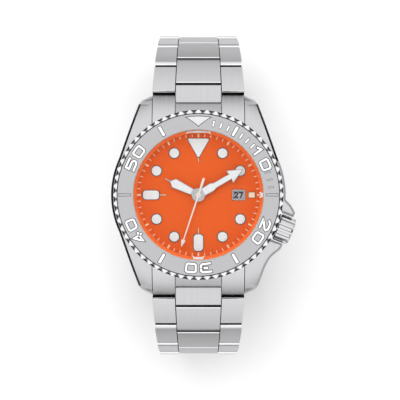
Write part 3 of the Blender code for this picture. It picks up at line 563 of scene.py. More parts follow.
# ---- Case ----
def case_outline():
    """The middle case in plan, with its four lugs, the crown guards and the crown pocket."""
    shoulder = [(14.3, 21.7), (13.5, 22.7), (LUG_INNER_X, LUG_TIP_Y)]
    flank_end_deg = 24.9
    right_arc = arc((0, 0), CASE_RADIUS, flank_end_deg, -3, 16)
    upper_guard = [(21.3, 5.9), (22.75, 4.75), (22.95, 4.2), (22.9, POCKET_HALF_WIDTH)]
    pocket = [(POCKET_FLOOR, POCKET_HALF_WIDTH), (POCKET_FLOOR, -POCKET_HALF_WIDTH)]
    lower_guard = [(22.9, -POCKET_HALF_WIDTH), (22.95, -4.2), (22.75, -5.0), (22.1, -6.1)]
    lower_flank = [(21.55, -7.2), (21.25, -8.4), (21.1, -9.9)]
    left_arc = arc((0, 0), CASE_RADIUS, 180 + flank_end_deg, 180 - flank_end_deg, 28)
    guards = rotated(upper_guard + pocket + lower_guard + lower_flank, CROWN_ANGLE)
    outline = list(reversed(shoulder)) + right_arc + guards
    outline += [(x, -y) for x, y in shoulder]
    outline += [(-x, -y) for x, y in reversed(shoulder)]
    outline += left_arc
    outline += [(-x, y) for x, y in shoulder]
    return outline


def shoulder_arc(drop, steps):
    """The lug's falling top line on the 12 o'clock side, from the flat out to the tip."""
    centre = (SHOULDER_START_Y, CASE_TOP - drop - SHOULDER_ARC_RADIUS)
    reach = math.degrees(math.acos((LUG_TIP_Y + 0.2 - SHOULDER_START_Y) / SHOULDER_ARC_RADIUS))
    return arc(centre, SHOULDER_ARC_RADIUS, 90, reach, steps)


def chamfer_rim(piece, width):
    """Cut a flat chamfer, in the piece's second material, along the top edge of its walls."""
    work = bmesh.new()
    work.from_mesh(piece.data)
    rim = []
    for edge in work.edges:
        lifts = sorted(face.normal.z for face in edge.link_faces)
        if len(lifts) == 2 and abs(lifts[0]) < 0.05 and lifts[1] > 0.5:
            rim.append(edge)
    bmesh.ops.bevel(
        work, geom=rim, offset=width * MM, offset_type="OFFSET", segments=1, affect="EDGES", material=1
    )
    work.to_mesh(piece.data)
    work.free()


def case_look(centre, normal):
    """Chamfers on the left and the upper right in near-black steel, a painted dark reflection; grey ones
    elsewhere.
    """
    if not 0.3 < normal.z < 0.85 or abs(centre.y) > LUG_TIP_Y - 1.2:
        return 0
    if abs(math.hypot(normal.x, normal.y) - normal.z) > 0.3:
        return 0
    near_crown = centre.x > 0 and centre.y < 8.0
    return 2 if near_crown else 1


def build_case():
    """The middle case: brushed top and walls, a polished chamfer with a painted dark reflection on most of
    it, bored and slotted.
    """
    case = prism("case_body", [case_outline()], -2, 12)
    tip = [(LUG_TIP_Y + 0.2, 1.8), (22.6, 0.6), (19.5, 0.6), (15.0, CASE_BOTTOM)]
    right = shoulder_arc(0, 20) + tip
    side = right + [(-y, z) for y, z in reversed(right)]
    combine(case, prism("case_side", [side], -30, 30, True), "INTERSECT")
    chamfer_rim(case, CASE_CHAMFER)
    paint(case, case_look)
    neck = [
        (14, NECK_TOP), (NECK_RADIUS - 0.1, NECK_TOP), (NECK_RADIUS, NECK_TOP - 0.1),
        (NECK_RADIUS, CASE_TOP + 0.02), (18.3, CASE_TOP + 0.02), (18.3, 5), (14, 5),
    ]
    join(case, turned("case_neck", neck, 96))
    cut(case, disc("case_hollow", BORE_RADIUS, -5, 20))
    cut(case, disc("back_recess", 17.0, -5, CASE_BOTTOM + 0.02))
    for side_sign in (1, -1):
        gap = box("lug_gap", (0, side_sign * 20, 5), (2 * LUG_INNER_X, 20, 20))
        cut(gap, disc("gap_core", END_LINK_GAP_RADIUS, -10, 20))
        cut(case, gap)
    cut(case, along_crown(disc("tube_hole", 1.56, 12, 22, 32)))
    bevel(case, 0.07, 1, 40)
    # Second look: near-black steel, a painted dark reflection on the chamfers; third look: grey polish
    # near the crown.
    finish(case, "case", [CASE_BRUSHED, DARK_REFLECTION_AND_SHADE, GREY_POLISH], ["mid_case"])


def nose_look(centre, normal):
    """The nose: painted shade on its sides and where it turns down under the first link, and a polished
    band, a painted highlight, on its near edge.
    """
    lean = math.degrees(math.atan2(abs(normal.y), normal.z))
    if abs(normal.x) > 0.9:
        return 2
    if abs(centre.y) < 22.4 and 20 < lean < 80:
        return 1
    if lean > 26 and abs(centre.y) > FIRST_HINGE[0]:
        return 2
    return 0


def faces_block(centre, normal):
    """Whether a face is the wall of a plate or shoulder beside the middle block."""
    return abs(normal.x) > 0.9 and abs(centre.x) < PLATE_INNER + 0.1


def shoulder_look(centre, normal):
    """The end link's shoulders: painted shade on the walls beside the nose and in the gap to the link."""
    return 2 if faces_block(centre, normal) or abs(normal.y) > 0.8 else 0


def build_end_link(clock, side):
    """One end link: brushed shoulders, a slope in the middle in darker steel as painted shade, and a nose
    with a polished band as a painted highlight.
    """
    half = LUG_WIDTH / 2 - 0.05
    face_y = FIRST_HINGE[0] - LINK_KNUCKLE - 0.15
    fall = shoulder_arc(0.12, 40)
    top = [(y, z) for y, z in fall if END_LINK_START_Y < y < face_y - 0.35]
    top.append((face_y - 0.03, 4.2))

    def along_x(name, outline, start, end):
        return prism(name, [[(side * y, z) for y, z in outline]], start, end, True)

    def trim(piece, clearance):
        cut(piece, disc("end_trim", END_LINK_GAP_RADIUS + clearance, -10, 20))

    hollow = arc(FIRST_HINGE, 1.96, 146, 214, 10)
    shoulder = top + hollow + [(face_y - 0.3, 1.4), (END_LINK_START_Y, 1.4)]
    right = along_x("end_shoulder", shoulder, PLATE_INNER, half)
    left = along_x("end_shoulder_left", shoulder, -half, -PLATE_INNER)
    shoulders = group("end_shoulders_" + clock, [right, left])
    trim(shoulders, 0.15)
    bevel(shoulders, 0.08, 1, 45)
    paint(shoulders, shoulder_look)
    # The third look is the near-black painted shade in the gaps.
    looks = [LINK_BRUSHED, POLISH_AND_HIGHLIGHT, PAINTED_SHADE_STEEL]
    finish(shoulders, "case", looks, ["end_link_" + clock])

    core_outline = [(y, z - 1.0) for y, z in top if y < 22.0]
    core_outline += [(22.0, 3.4), (22.0, 1.5), (END_LINK_START_Y, 1.5)]
    core = along_x("end_core_" + clock, core_outline, -half + 0.3, half - 0.3)
    trim(core, 0.25)
    finish(core, "case", [GREY_POLISH])

    slope_outline = [(y, z - 0.25) for y, z in top if 18 < y < 22.1]
    slope_outline += [(22.1, 4.6), (21, 4.2), (18.5, 5.2)]
    slope = along_x("end_slope_" + clock, slope_outline, -CENTRE_HALF_WIDTH, CENTRE_HALF_WIDTH)
    trim(slope, 0.15)
    bevel(slope, 0.05, 1, 45)
    # The slope's darker steel is painted shade below the bezel.
    finish(slope, "case", [PAINTED_SHADE_SLOPE])

    nose_outline = arc(FIRST_HINGE, LINK_KNUCKLE, 80, -90, 16)
    nose_outline += [(NOSE_START_Y, 1.55), (NOSE_START_Y, 4.85), (22.3, 4.92), (24.5, 4.62)]
    nose = along_x("end_nose_" + clock, nose_outline, -CENTRE_HALF_WIDTH, CENTRE_HALF_WIDTH)
    cut(nose, rod_x("nose_hole", 0.6, -8, 8, side * FIRST_HINGE[0], FIRST_HINGE[1]))
    bevel(nose, 0.08, 1, 45)
    paint(nose, nose_look)
    finish(nose, "case", [CENTRE_BRUSHED, POLISH_AND_HIGHLIGHT, PAINTED_SHADE_STEEL])


def build_case_back():
    """The screwed back: turned steel, six key slots and a plain engraved ring."""
    profile = [
        (0.02, 1.95), (15.5, 1.95), (15.5, 1.15), (16.8, 1.15), (16.8, 0.4), (16.4, 0.0),
        (12.6, 0.0), (12.5, 0.12), (12.1, 0.12), (12.0, 0.0), (0.02, 0.0),
    ]
    back = turned("case_back_screwed", profile)
    for step in range(6):
        slot = box("key_slot", (14.7, 0, 0), (1.8, 1.6, 0.7))
        slot.data.transform(Matrix.Rotation(math.radians(60 * step), 4, "Z"))
        cut(back, slot)
    bevel(back, 0.05, 1, 40)
    finish(back, "case", [BACK_TURNED], ["case_back"])


# ---- Dial ----
def radial_bar(name, inner, outer, half_width, angle, low, high):
    """A straight bar that points away from the centre."""
    bar = prism(name, [rectangle(inner, outer, -half_width, half_width)], low, high)
    bar.data.transform(Matrix.Rotation(angle, 4, "Z"))
    return bar


def rounded_polygon(corners, radius, steps):
    """A convex outline with rounded corners."""
    points = []
    count = len(corners)
    for index, corner in enumerate(corners):
        corner = Vector(corner)
        before = (Vector(corners[index - 1]) - corner).normalized()
        after = (Vector(corners[(index + 1) % count]) - corner).normalized()
        half_angle = before.angle(after) / 2
        reach = radius / math.tan(half_angle)
        centre = corner + (before + after).normalized() * radius / math.sin(half_angle)
        start = corner + before * reach - centre
        end = corner + after * reach - centre
        for step in range(steps + 1):
            spoke = start.lerp(end, step / steps).normalized() * radius
            points.append(tuple(centre + spoke))
    return points


def offset_outline(points, distance):
    """Shrink a closed outline towards its middle by about the given distance."""
    centre = sum((Vector(p) for p in points), Vector((0, 0))) / len(points)
    result = []
    for point in points:
        spoke = Vector(point) - centre
        result.append(tuple(centre + spoke * (1 - distance / spoke.length)))
    return result


def pill(inner, outer, half_width):
    """A rounded bar along +Y."""
    return rounded_polygon(rectangle(-half_width, half_width, inner, outer), half_width * 0.72, 6)


def build_dial():
    """The orange dial with its centre hole and its date window."""
    dial = disc("dial_plate", 15.6, 6.65, DIAL_TOP, 144)
    cut(dial, disc("dial_hole", 1.1, 5, 8, 32))
    cut(dial, box("window", (DATE_WINDOW_X, 0, 7), (2.5, 1.8, 2)))
    finish(dial, "case", [DIAL_ORANGE], ["dial"])


def marker_outlines():
    """The dots, the triangle at 12 and the bars at 6 and 9 in plan."""
    outlines = []
    for hour in (1, 2, 4, 5, 7, 8, 10, 11):
        angle = math.radians(90 - 30 * hour)
        centre = (HOUR_DOT_REACH * math.cos(angle), HOUR_DOT_REACH * math.sin(angle))
        outlines.append(circle(centre, HOUR_DOT_RADIUS, 40))
    outlines.append(rounded_polygon([(2.85, 13.55), (0.0, 8.55), (-2.85, 13.55)], 0.26, 5))
    outlines.append(rotated(pill(9.2, 13.5, 1.24), math.pi))
    outlines.append(rotated(pill(9.2, 13.4, 1.2), math.pi / 2))
    return outlines


def build_markers():
    """The applied markers: steel rims in near-black as painted shade and dark reflection, white lume, and
    cream lines at 3, 6, 9 and 12.
    """
    rims = []
    lumes = []
    for number, outline in enumerate(marker_outlines()):
        rims.append(prism("rim_%d" % number, [outline], DIAL_TOP - 0.05, DIAL_TOP + 0.24))
        inner_outline = offset_outline(outline, 0.2)
        lumes.append(prism("lume_%d" % number, [inner_outline], DIAL_TOP, DIAL_TOP + 0.32))
    plate = rounded_polygon(rectangle(11.85, 13.55, -0.72, 0.72), 0.1, 2)
    rims.append(prism("rim_3", [plate], DIAL_TOP - 0.05, DIAL_TOP + 0.2))
    lines = [prism("marker_cream", [offset_outline(plate, 0.16)], DIAL_TOP, DIAL_TOP + 0.26)]
    for inner, angle in ((7.85, math.pi / 2), (7.8, -math.pi / 2), (7.65, math.pi)):
        rims.append(radial_bar("rim_line", inner, 9.3, 0.14, angle, DIAL_TOP - 0.05, DIAL_TOP + 0.15))
        lines.append(radial_bar("line", inner, 9.3, 0.08, angle, DIAL_TOP, DIAL_TOP + 0.2))
    rim_piece = bevel(group("marker_rims", rims), 0.05, 1)
    # The rims' near-black steel is painted shade and dark reflection.
    finish(rim_piece, "case", [MARKER_RIM_SHADE_AND_REFLECTION])
    lume_piece = bevel(group("marker_lume", lumes), 0.08, 2)
    finish(lume_piece, "case", [LUME_WHITE])
    finish(group("marker_lines", lines), "case", [CREAM_PRINT])


def build_minute_track():
    """The printed minute track: 60 ticks, wider at the hours and shorter at 3 o'clock."""
    ticks = []
    for minute in range(60):
        wide = minute % 5 == 0
        half_width = 0.2 if wide else 0.1
        inner = 13.75 if wide else 13.9
        if minute == 0:
            inner = 14.0
        angle = math.radians(6 * minute)
        ticks.append(radial_bar("tick", inner, 14.62, half_width, angle, 6.99, DIAL_TOP + 0.03))
    finish(group("minute_track", ticks), "case", [CREAM_PRINT])


def build_date_frame():
    """The polished frame round the date window."""
    outer = rounded_polygon(rectangle(8.0, 11.2, -1.3, 1.3), 0.15, 2)
    inner = [(8.35, -0.9), (8.35, 0.9), (10.85, 0.9), (10.85, -0.9)]
    frame_piece = bevel(prism("date_window_frame", [outer, inner], DIAL_TOP, DIAL_TOP + 0.27), 0.05, 1)
    finish(frame_piece, "case", [FRAME_POLISH], ["date_frame"])


def build_rehaut():
    """The sloping ring between dial and crystal with its three index marks."""
    profile = [(15.25, 9.2), (15.6, 9.2), (15.6, 7.1), (14.65, 7.1), (14.65, 7.3)]
    finish(turned("rehaut_ring", profile), "case", [REHAUT_ORANGE], ["chapter_ring"])
    marks = []
    for angle, half in ((0, 2.75), (math.pi, 1.2), (-math.pi / 2, 0.55)):
        reach = math.sqrt(REHAUT_RADIUS**2 - half**2)
        bar = [(-half, 14.72), (half, 14.72), (half, reach), (0, REHAUT_RADIUS), (-half, reach)]
        marks.append(prism("index_bar", [rotated(bar, angle)], 8.9, 9.22))
        for middle in (half, -half):
            serif = rectangle(middle - 0.14, middle + 0.14, 14.45, 14.8)
            marks.append(prism("index_serif", [rotated(serif, angle)], 8.85, 9.17))
    finish(group("rehaut_marks", marks), "case", [MARK_WHITE])


# ---- Numerals ----
ROUND_BOX = [(0.13, 0), (0.87, 0), (1, 0.13), (1, 0.87), (0.87, 1), (0.13, 1), (0, 0.87), (0, 0.13)]
SIX = [
    (0.95, 1), (0.25, 1), (0, 0.75), (0, 0.2), (0.2, 0),
    (0.8, 0), (1, 0.2), (1, 0.4), (0.8, 0.57), (0, 0.57),
]
NINE = [(1 - u, 1 - v) for u, v in SIX]
# Each digit's strokes in a unit square: whether the line is closed, and its points.
DIGITS = {
    "0": [(True, ROUND_BOX)],
    "1": [(False, [(0.15, 0.78), (0.5, 1), (0.5, 0)])],
    "2": [(False, [(0, 0.78), (0.2, 1), (0.8, 1), (1, 0.8), (0.9, 0.6), (0, 0), (1, 0)])],
    "3": [
        (False, [(0, 1), (0.8, 1), (1, 0.85), (1, 0.62), (0.82, 0.5), (0.35, 0.5)]),
        (False, [(0.82, 0.5), (1, 0.38), (1, 0.15), (0.8, 0), (0, 0)]),
    ],
    "4": [(False, [(1, 0.28), (0, 0.28), (0.72, 1), (0.72, 0)])],
    "5": [(False, [(1, 1), (0.05, 1), (0, 0.58), (0.8, 0.58), (1, 0.42), (1, 0.18), (0.8, 0), (0, 0)])],
    "6": [(False, SIX)],
    "7": [(False, [(0, 1), (1, 1), (0.4, 0)])],
    "8": [(True, ROUND_BOX), (False, [(0, 0.52), (1, 0.52)])],
    "9": [(False, NINE)],
}


def stroke_sides(points, closed, half_width):
    """The left and right edges of a ribbon drawn along a line of points."""
    left = []
    right = []
    count = len(points)
    for index, point in enumerate(points):
        here = Vector(point)
        before = Vector(points[index - 1]) if closed or index > 0 else None
        after = Vector(points[(index + 1) % count]) if closed or index < count - 1 else None
        arriving = (here - before).normalized() if before is not None else (after - here).normalized()
        leaving = (after - here).normalized() if after is not None else arriving
        side_in = Vector((-arriving.y, arriving.x))
        side_out = Vector((-leaving.y, leaving.x))
        mitre = (side_in + side_out).normalized()
        reach = half_width / max(0.45, mitre.dot(side_in))
        end_shift = Vector((0, 0))
        if before is None:
            end_shift = -leaving * half_width
        if after is None:
            end_shift = arriving * half_width
        left.append(here + end_shift + mitre * reach)
        right.append(here + end_shift - mitre * reach)
    return left, right


def stroke_solid(work, points, closed, half_width, low, high, place):
    """Add one raised ribbon to a mesh; place turns flat points into plan positions."""
    left, right = stroke_sides(points, closed, half_width)
    levels = []
    for height in (low, high):
        for side in (left, right):
            levels.append([work.verts.new((*[c * MM for c in place(p)], height * MM)) for p in side])
    low_left, low_right, high_left, high_right = levels
    count = len(points)
    last = count if closed else count - 1
    for index in range(last):
        following = (index + 1) % count
        for first, second in (
            (high_left, high_right), (low_right, low_left), (low_left, high_left), (high_right, low_right)
        ):
            work.faces.new((first[index], second[index], second[following], first[following]))
    if not closed:
        for index in (0, count - 1):
            work.faces.new((low_left[index], low_right[index], high_right[index], high_left[index]))


def densify(points, closed):
    """Add points along a line, about 0.35 mm apart, so that it can bend round the ring."""
    result = []
    count = len(points)
    for index in range(count if closed else count - 1):
        start = Vector(points[index])
        end = Vector(points[(index + 1) % count])
        pieces = max(1, round((end - start).length / 0.35))
        result += [tuple(start.lerp(end, part / pieces)) for part in range(pieces)]
    if not closed:
        result.append(points[-1])
    return result


def strokes_piece(name, strokes, half_width, low, high, place):
    """One piece made of many raised ribbons."""
    work = bmesh.new()
    for closed, points in strokes:
        stroke_solid(work, densify(points, closed), closed, half_width, low, high, place)
    bmesh.ops.recalc_face_normals(work, faces=work.faces)
    return mesh_piece(name, work)


def number_strokes(text, width, height, gap, centre_u, centre_v):
    """The strokes of a number centred on a point, in flat units of millimetres."""
    strokes = []
    total = len(text) * width + (len(text) - 1) * gap
    for index, digit in enumerate(text):
        left = centre_u - total / 2 + index * (width + gap)
        bottom = centre_v - height / 2
        for closed, points in DIGITS[digit]:
            strokes.append((closed, [(left + u * width, bottom + v * height) for u, v in points]))
    return strokes


def bars_at(minutes, inner, outer):
    """Short radial strokes at some minutes of the insert."""
    return [(False, [(minute * MINUTE_ARC, inner), (minute * MINUTE_ARC, outer)]) for minute in minutes]


def on_ring(point):
    """Bend a flat point round the insert: u runs clockwise from 12 o'clock, v outwards."""
    u, v = point
    angle = math.pi / 2 - u / UNROLL_RADIUS
    return (v * math.cos(angle), v * math.sin(angle))


def insert_look(centre, normal):
    """The insert's outer wall gets painted shade, a thin dark line that parts it from the bezel."""
    outer_wall = abs(normal.z) < 0.5 and math.hypot(centre.x, centre.y) > INSERT_OUTER_RADIUS - 0.5
    return 1 if outer_wall else 0


def build_insert():
    """The insert: brushed ring, outlined numerals, bars and the triangle at zero."""
    ring_profile = [
        (INSERT_INNER_RADIUS, INSERT_TOP - 0.12),
        (INSERT_INNER_RADIUS + 0.12, INSERT_FACE),
        (INSERT_OUTER_RADIUS - 0.1, INSERT_FACE),
        (INSERT_OUTER_RADIUS - 0.06, INSERT_TOP - 0.13),
        (INSERT_OUTER_RADIUS - 0.06, 10.75),
        (INSERT_INNER_RADIUS, 10.75),
    ]
    ring = turned("insert_ring", ring_profile)
    paint(ring, insert_look)
    # The insert's second look is painted shade on its outer wall.
    finish(ring, "bezel", [INSERT_BRUSHED, DARK_REFLECTION_AND_SHADE], ["bezel_insert"])

    numerals = []
    for value in (10, 20, 30, 40, 50):
        numerals += number_strokes(str(value), 2.25, 1.95, 1.25, value * MINUTE_ARC, 17.25)
    bars = bars_at((5, 25, 35, 55), 16.35, 18.15)
    faint_bars = bars_at((15, 45), 16.2, 18.5)
    small_bars = bars_at((2, 3, 4, 6, 7, 8), 16.6, 17.6)
    faint_small = bars_at((12, 13, 14), 16.6, 17.6)
    layers = (
        ("insert_outlines", "insert_numerals", numerals, 0.4, 0.22, MARK_WHITE),
        ("insert_bar_outlines", "insert_bars", bars, 0.47, 0.3, MARK_WHITE),
        ("insert_faint_outlines", "insert_faint_bars", faint_bars, 0.34, 0.22, INSERT_BRUSHED),
        ("insert_small_outlines", "insert_small_bars", small_bars, 0.3, 0.17, MARK_WHITE),
        ("insert_faint_small_outlines", "insert_faint_small", faint_small, 0.21, 0.14, INSERT_BRUSHED),
    )
    low = INSERT_FACE - 0.05
    for border_name, fill_name, strokes, border_half, fill_half, look in layers:
        border = strokes_piece(border_name, strokes, border_half, low, INSERT_FACE + OUTLINE_RISE, on_ring)
        finish(border, "bezel", [MARK_GREY])
        fill = strokes_piece(fill_name, strokes, fill_half, low, INSERT_FACE + MARK_RISE, on_ring)
        finish(fill, "bezel", [look])
    triangles = (
        ("insert_triangle_outline", [(-3.05, 18.6), (0.0, 15.98), (3.05, 18.6)], OUTLINE_RISE, MARK_GREY),
        ("insert_triangle", [(-2.62, 18.43), (0.0, 16.22), (2.62, 18.43)], MARK_RISE, TRIANGLE_GREY),
    )
    for name, corners, rise, look in triangles:
        outline = [on_ring(point) for point in densify(corners, True)]
        finish(prism(name, [outline], low, INSERT_FACE + rise), "bezel", [look])


# ---- Bezel ----
def scallop_share(angle):
    """How deep the grip is cut at an angle: 0 on a crest, 1 in the middle of a scallop."""
    pitch = 2 * math.pi / BEZEL_SCALLOPS
    offset = (angle / pitch) % 1.0 - 0.5
    if abs(offset) >= SCALLOP_HALF_WIDTH:
        return 0.0
    return math.sqrt(1 - (offset / SCALLOP_HALF_WIDTH) ** 2)


def bezel_look(centre, _normal):
    """The bezel: painted shade on the scallops' walls and in the groove beside the insert."""
    radius = math.hypot(centre.x, centre.y)
    share = scallop_share(math.atan2(centre.y, centre.x) % (2 * math.pi))
    scallop_wall = radius > 19.3 and centre.z < 10.89 and share > 0.1
    groove_wall = radius < 19.2 and centre.z > 10.6
    return 1 if scallop_wall or groove_wall else 0


def build_bezel():
    """The turning bezel: scallops whose cut faces slope down and outwards."""
    steps = BEZEL_SCALLOPS * 16
    angles = [2 * math.pi * step / steps for step in range(steps)]
    profile = [
        (GRIP_INNER_RADIUS, 0, 9.0),
        (GRIP_INNER_RADIUS, 0, BEZEL_BOTTOM),
        (BEZEL_RADIUS - 0.3, 0.1, BEZEL_BOTTOM),
        (BEZEL_RADIUS, 0.08, 9.25),
        (BEZEL_RADIUS, 0.08, 10.1),
        (BEZEL_RADIUS - 0.08, SCALLOP_DEPTH - 0.09, 10.9),
        (19.22, 0, 11.15),
        (19.18, 0, 11.12),
        (19.14, 0, 10.7),
        (GRIP_INNER_RADIUS, 0, 10.7),
    ]
    bezel = grooved("bezel_grip", angles, [scallop_share(angle) for angle in angles], profile)
    paint(bezel, bezel_look)
    # The second look is the near-black painted shade.
    finish(bezel, "bezel", [BEZEL_POLISH, PAINTED_SHADE_STEEL], ["bezel_ring"], 25)


# ---- Hands ----
def mirrored(upper):
    """Close an outline whose upper half runs outwards from the hub along X."""
    return upper + [(x, -y) for x, y in reversed(upper)]


def build_flat_hand(name, angle, outline, lume, hub, hole, low):
    """A hand: polished frame with a hub, and a white inlay that stands 0.05 mm proud."""
    high = low + HAND_THICKNESS
    blade = prism(name + "_frame", [mirrored(outline)], low, high)
    join(blade, disc(name + "_hub", hub, low - 0.02, high + 0.04, 40))
    cut(blade, disc(name + "_hole", hole, low - 1, high + 1, 24))
    bevel(blade, 0.04, 1)
    inlay = bevel(prism(name + "_lume", [mirrored(lume)], low + 0.02, high + 0.05), 0.04, 1)
    for piece in (blade, inlay):
        piece.data.transform(Matrix.Rotation(angle, 4, "Z"))
    finish(blade, name + "s", [HAND_POLISH], [name + "_hand"])
    finish(inlay, name + "s", [LUME_WHITE])


def build_hands():
    """Sword hour hand, arrow minute hand and needle seconds hand."""
    sword = [(0.0, 0.6), (1.5, 0.75), (6.45, 1.15), (7.3, 0.3), (7.5, 0.13), (8.85, 0.08)]
    sword_lume = [(1.75, 0.62), (6.35, 0.98), (7.15, 0.2)]
    build_flat_hand("hour", HOUR_ANGLE, sword, sword_lume, 1.6, 0.84, 7.75)
    shaft = [(0.0, 0.9), (3.8, 1.0), (4.5, 0.66), (8.7, 0.66)]
    arrow = [(8.55, 1.62), (8.75, 1.62), (12.0, 0.12), (12.4, 0.06)]
    shaft_lume = [(1.4, 0.8), (3.75, 0.85), (4.4, 0.53), (8.85, 0.53)]
    arrow_lume = [(8.75, 1.4), (11.75, 0.08)]
    build_flat_hand("minute", MINUTE_ANGLE, shaft + arrow, shaft_lume + arrow_lume, 1.25, 0.54, 8.3)
    needle = [(-4.2, 0.25), (-3.9, 0.3), (0.0, 0.2), (11.2, 0.13), (11.2, 0.5), (11.4, 0.5), (12.9, 0.05)]
    seconds = prism("seconds_needle", [mirrored(needle)], 8.8, 8.92)
    join(seconds, disc("seconds_hub", 0.6, 8.78, 8.94, 32))
    seconds.data.transform(Matrix.Rotation(SECONDS_ANGLE, 4, "Z"))
    bevel(seconds, 0.03, 1)
    finish(seconds, "seconds", [NEEDLE_CREAM], ["seconds_hand"])


def build_date():
    """The date ring, printed with 1 to 31."""
    ring = turned("date_printed_ring", [(7.8, 6.4), (11.4, 6.4), (11.4, 6.15), (7.8, 6.15)], 124)
    finish(ring, "date", [DATE_DISC], ["date_ring"])
    work = bmesh.new()
    for day in range(1, 32):
        turn = 2 * math.pi * (day - DATE_SHOWN) / 31

        def on_disc(point, turn=turn):
            return rotated([point], turn)[0]

        for closed, points in number_strokes(str(day), 0.68, 1.1, 0.42, DATE_WINDOW_X, 0.0):
            stroke_solid(work, points, closed, 0.17, 6.39, 6.43, on_disc)
    bmesh.ops.recalc_face_normals(work, faces=work.faces)
    finish(mesh_piece("date_numerals", work), "date", [DATE_INK])


# ---- Crown ----
def build_crown():
    """The crown: rounded coarse flutes, a chamfered rim and a slightly raised cap."""
    steps = CROWN_FLUTES * 12
    angles = [2 * math.pi * (step + 0.5) / steps for step in range(steps)]
    shares = []
    for step in range(steps):
        phase = (step % 12) / 12
        shares.append(max(0.0, math.sin(math.pi * min(1.0, phase / CROWN_GROOVE_SHARE))) ** 0.6)
    profile = [
        (CROWN_CAP_RADIUS, 0, CROWN_START),
        (2.95, 0, CROWN_START),
        (CROWN_RADIUS, 0.3, CROWN_START + 0.25),
        (CROWN_RADIUS, 0.32, CROWN_END - 0.55),
        (2.85, 0.05, CROWN_END - 0.12),
        (2.5, 0, CROWN_END - 0.12),
        (CROWN_CAP_RADIUS, 0, CROWN_END),
        (0.02, 0, CROWN_END),
        (0.02, 0, 22.9),
        (CROWN_CAP_RADIUS, 0, 22.9),
    ]
    crown = along_crown(grooved("crown_fluted", angles, shares, profile))
    finish(crown, "crown", [CROWN_POLISH], ["crown"], 24)


# ---- Bracelet ----
def bracelet_width(hinge):
    """Width at a hinge: 22 mm at the case, easing to the clasp's width."""
    return CLASP_WIDTH + (LUG_WIDTH - CLASP_WIDTH) * (1 - hinge / LINK_COUNT) ** 2


def crowned(start, stop, height):
    """Points of a slightly domed top, from one end to the other."""
    steps = 8
    points = []
    for step in range(steps + 1):
        share = step / steps
        rise = TOP_CROWN * (1 - (2 * share - 1) ** 2)
        points.append((start + (stop - start) * share, height + rise))
    return points


def link_shapes(fork, first):
    """The outlines of a link from the side: its outer plates and its middle block."""
    thick = LINK_KNUCKLE
    plate_end = LINK_PITCH - LINK_KNUCKLE - LINK_END_GAP
    hollow = LINK_KNUCKLE + KNUCKLE_GAP
    plate_start = [(-1.05, thick), (-1.4, 1.2), (-1.54, 0.75), (-1.54, 0.2)]
    plate_under = [(-1.54, -0.2), (-1.46, -0.5), (-1.25, -0.9), (-0.95, -1.2), (-0.55, -thick)]
    if first:
        plate_start = [(-1.25, thick), (-1.4, 1.32), (-1.65, 0.98), (-1.7, 0.5)]
        plate_under = [(y, -z) for y, z in reversed(plate_start)]
    flat_start = plate_start[0][0]
    plate_start += plate_under
    far_knuckle = arc((LINK_PITCH, 0), LINK_KNUCKLE, -90, 90, 18)
    plate_stop = far_knuckle if fork else [(plate_end, -thick), (plate_end, thick)]
    top_end = LINK_PITCH if fork else plate_end
    plates = plate_start + plate_stop + crowned(top_end, flat_start, thick)[1:-1]
    lip_deg = math.degrees(math.asin(1.28 / hollow))
    block_start = [(1.05, thick)] + arc((0, 0), hollow, lip_deg, -lip_deg, 12) + [(1.05, -thick)]
    block_stop = [(plate_end, -thick), (plate_end, thick)] if fork else far_knuckle
    block_top = plate_end if fork else LINK_PITCH
    block = block_start + block_stop + crowned(block_top, 1.05, thick)[1:-1]
    return plates, block


def plate_look(centre, normal):
    """Plates: painted shade in the gaps, a painted highlight in polished steel beside each gap, brushed
    elsewhere.
    """
    lean = math.degrees(math.atan2(normal.y, normal.z))
    if centre.y < 0 and -78 < lean < -50:
        return 1
    if faces_block(centre, normal) or abs(normal.y) > 0.94:
        return 2
    return 0


def block_look(centre, normal):
    """Blocks: painted shade where they turn down into a gap, a painted highlight in polished steel on the
    near edge.
    """
    lean = math.degrees(math.atan2(normal.y, normal.z))
    if abs(normal.x) > 0.9 or 18 < lean < 140:
        return 2
    if centre.y < 1.1 and -60 < lean < -25:
        return 1
    if centre.y < 1.6 and lean < -60:
        return 2
    return 0


def link_parts(fork, first):
    """One link's outer plates, its middle block and the bar and pin inside it."""
    half = LUG_WIDTH / 2
    plate_outline, block_outline = link_shapes(fork, first)
    left = prism("plate_left", [plate_outline], -half, -PLATE_INNER, True)
    right = prism("plate_right", [plate_outline], PLATE_INNER, half, True)
    plates = group("plates", [left, right])
    block = prism("block", [block_outline], -CENTRE_HALF_WIDTH, CENTRE_HALF_WIDTH, True)
    bevel(plates, 0.09, 1, 50)
    bevel(block, 0.09, 1, 50)
    if fork:
        cut(plates, rod_x("bar_hole", 0.6, -12, 12, LINK_PITCH, 0))
    else:
        cut(block, rod_x("pin_hole", 0.6, -8, 8, LINK_PITCH, 0))
    paint(plates, plate_look)
    paint(block, block_look)
    bar = box("bar", (0, LINK_PITCH / 2, 0), (2 * half - 2, 2.4, 1.9))
    pin = rod_x("pin", 0.5, -half + 1, half - 1)
    inner = group("inner", [bar, pin])
    return plates, block, inner


def taper(mesh, number):
    """Narrow a link from its own hinge's width to the next one's."""
    near = bracelet_width(number) / LUG_WIDTH
    far = bracelet_width(number + 1) / LUG_WIDTH
    for vertex in mesh.vertices:
        share = max(vertex.co.y, 0) / (LINK_PITCH * MM)
        vertex.co.x *= near + (far - near) * share


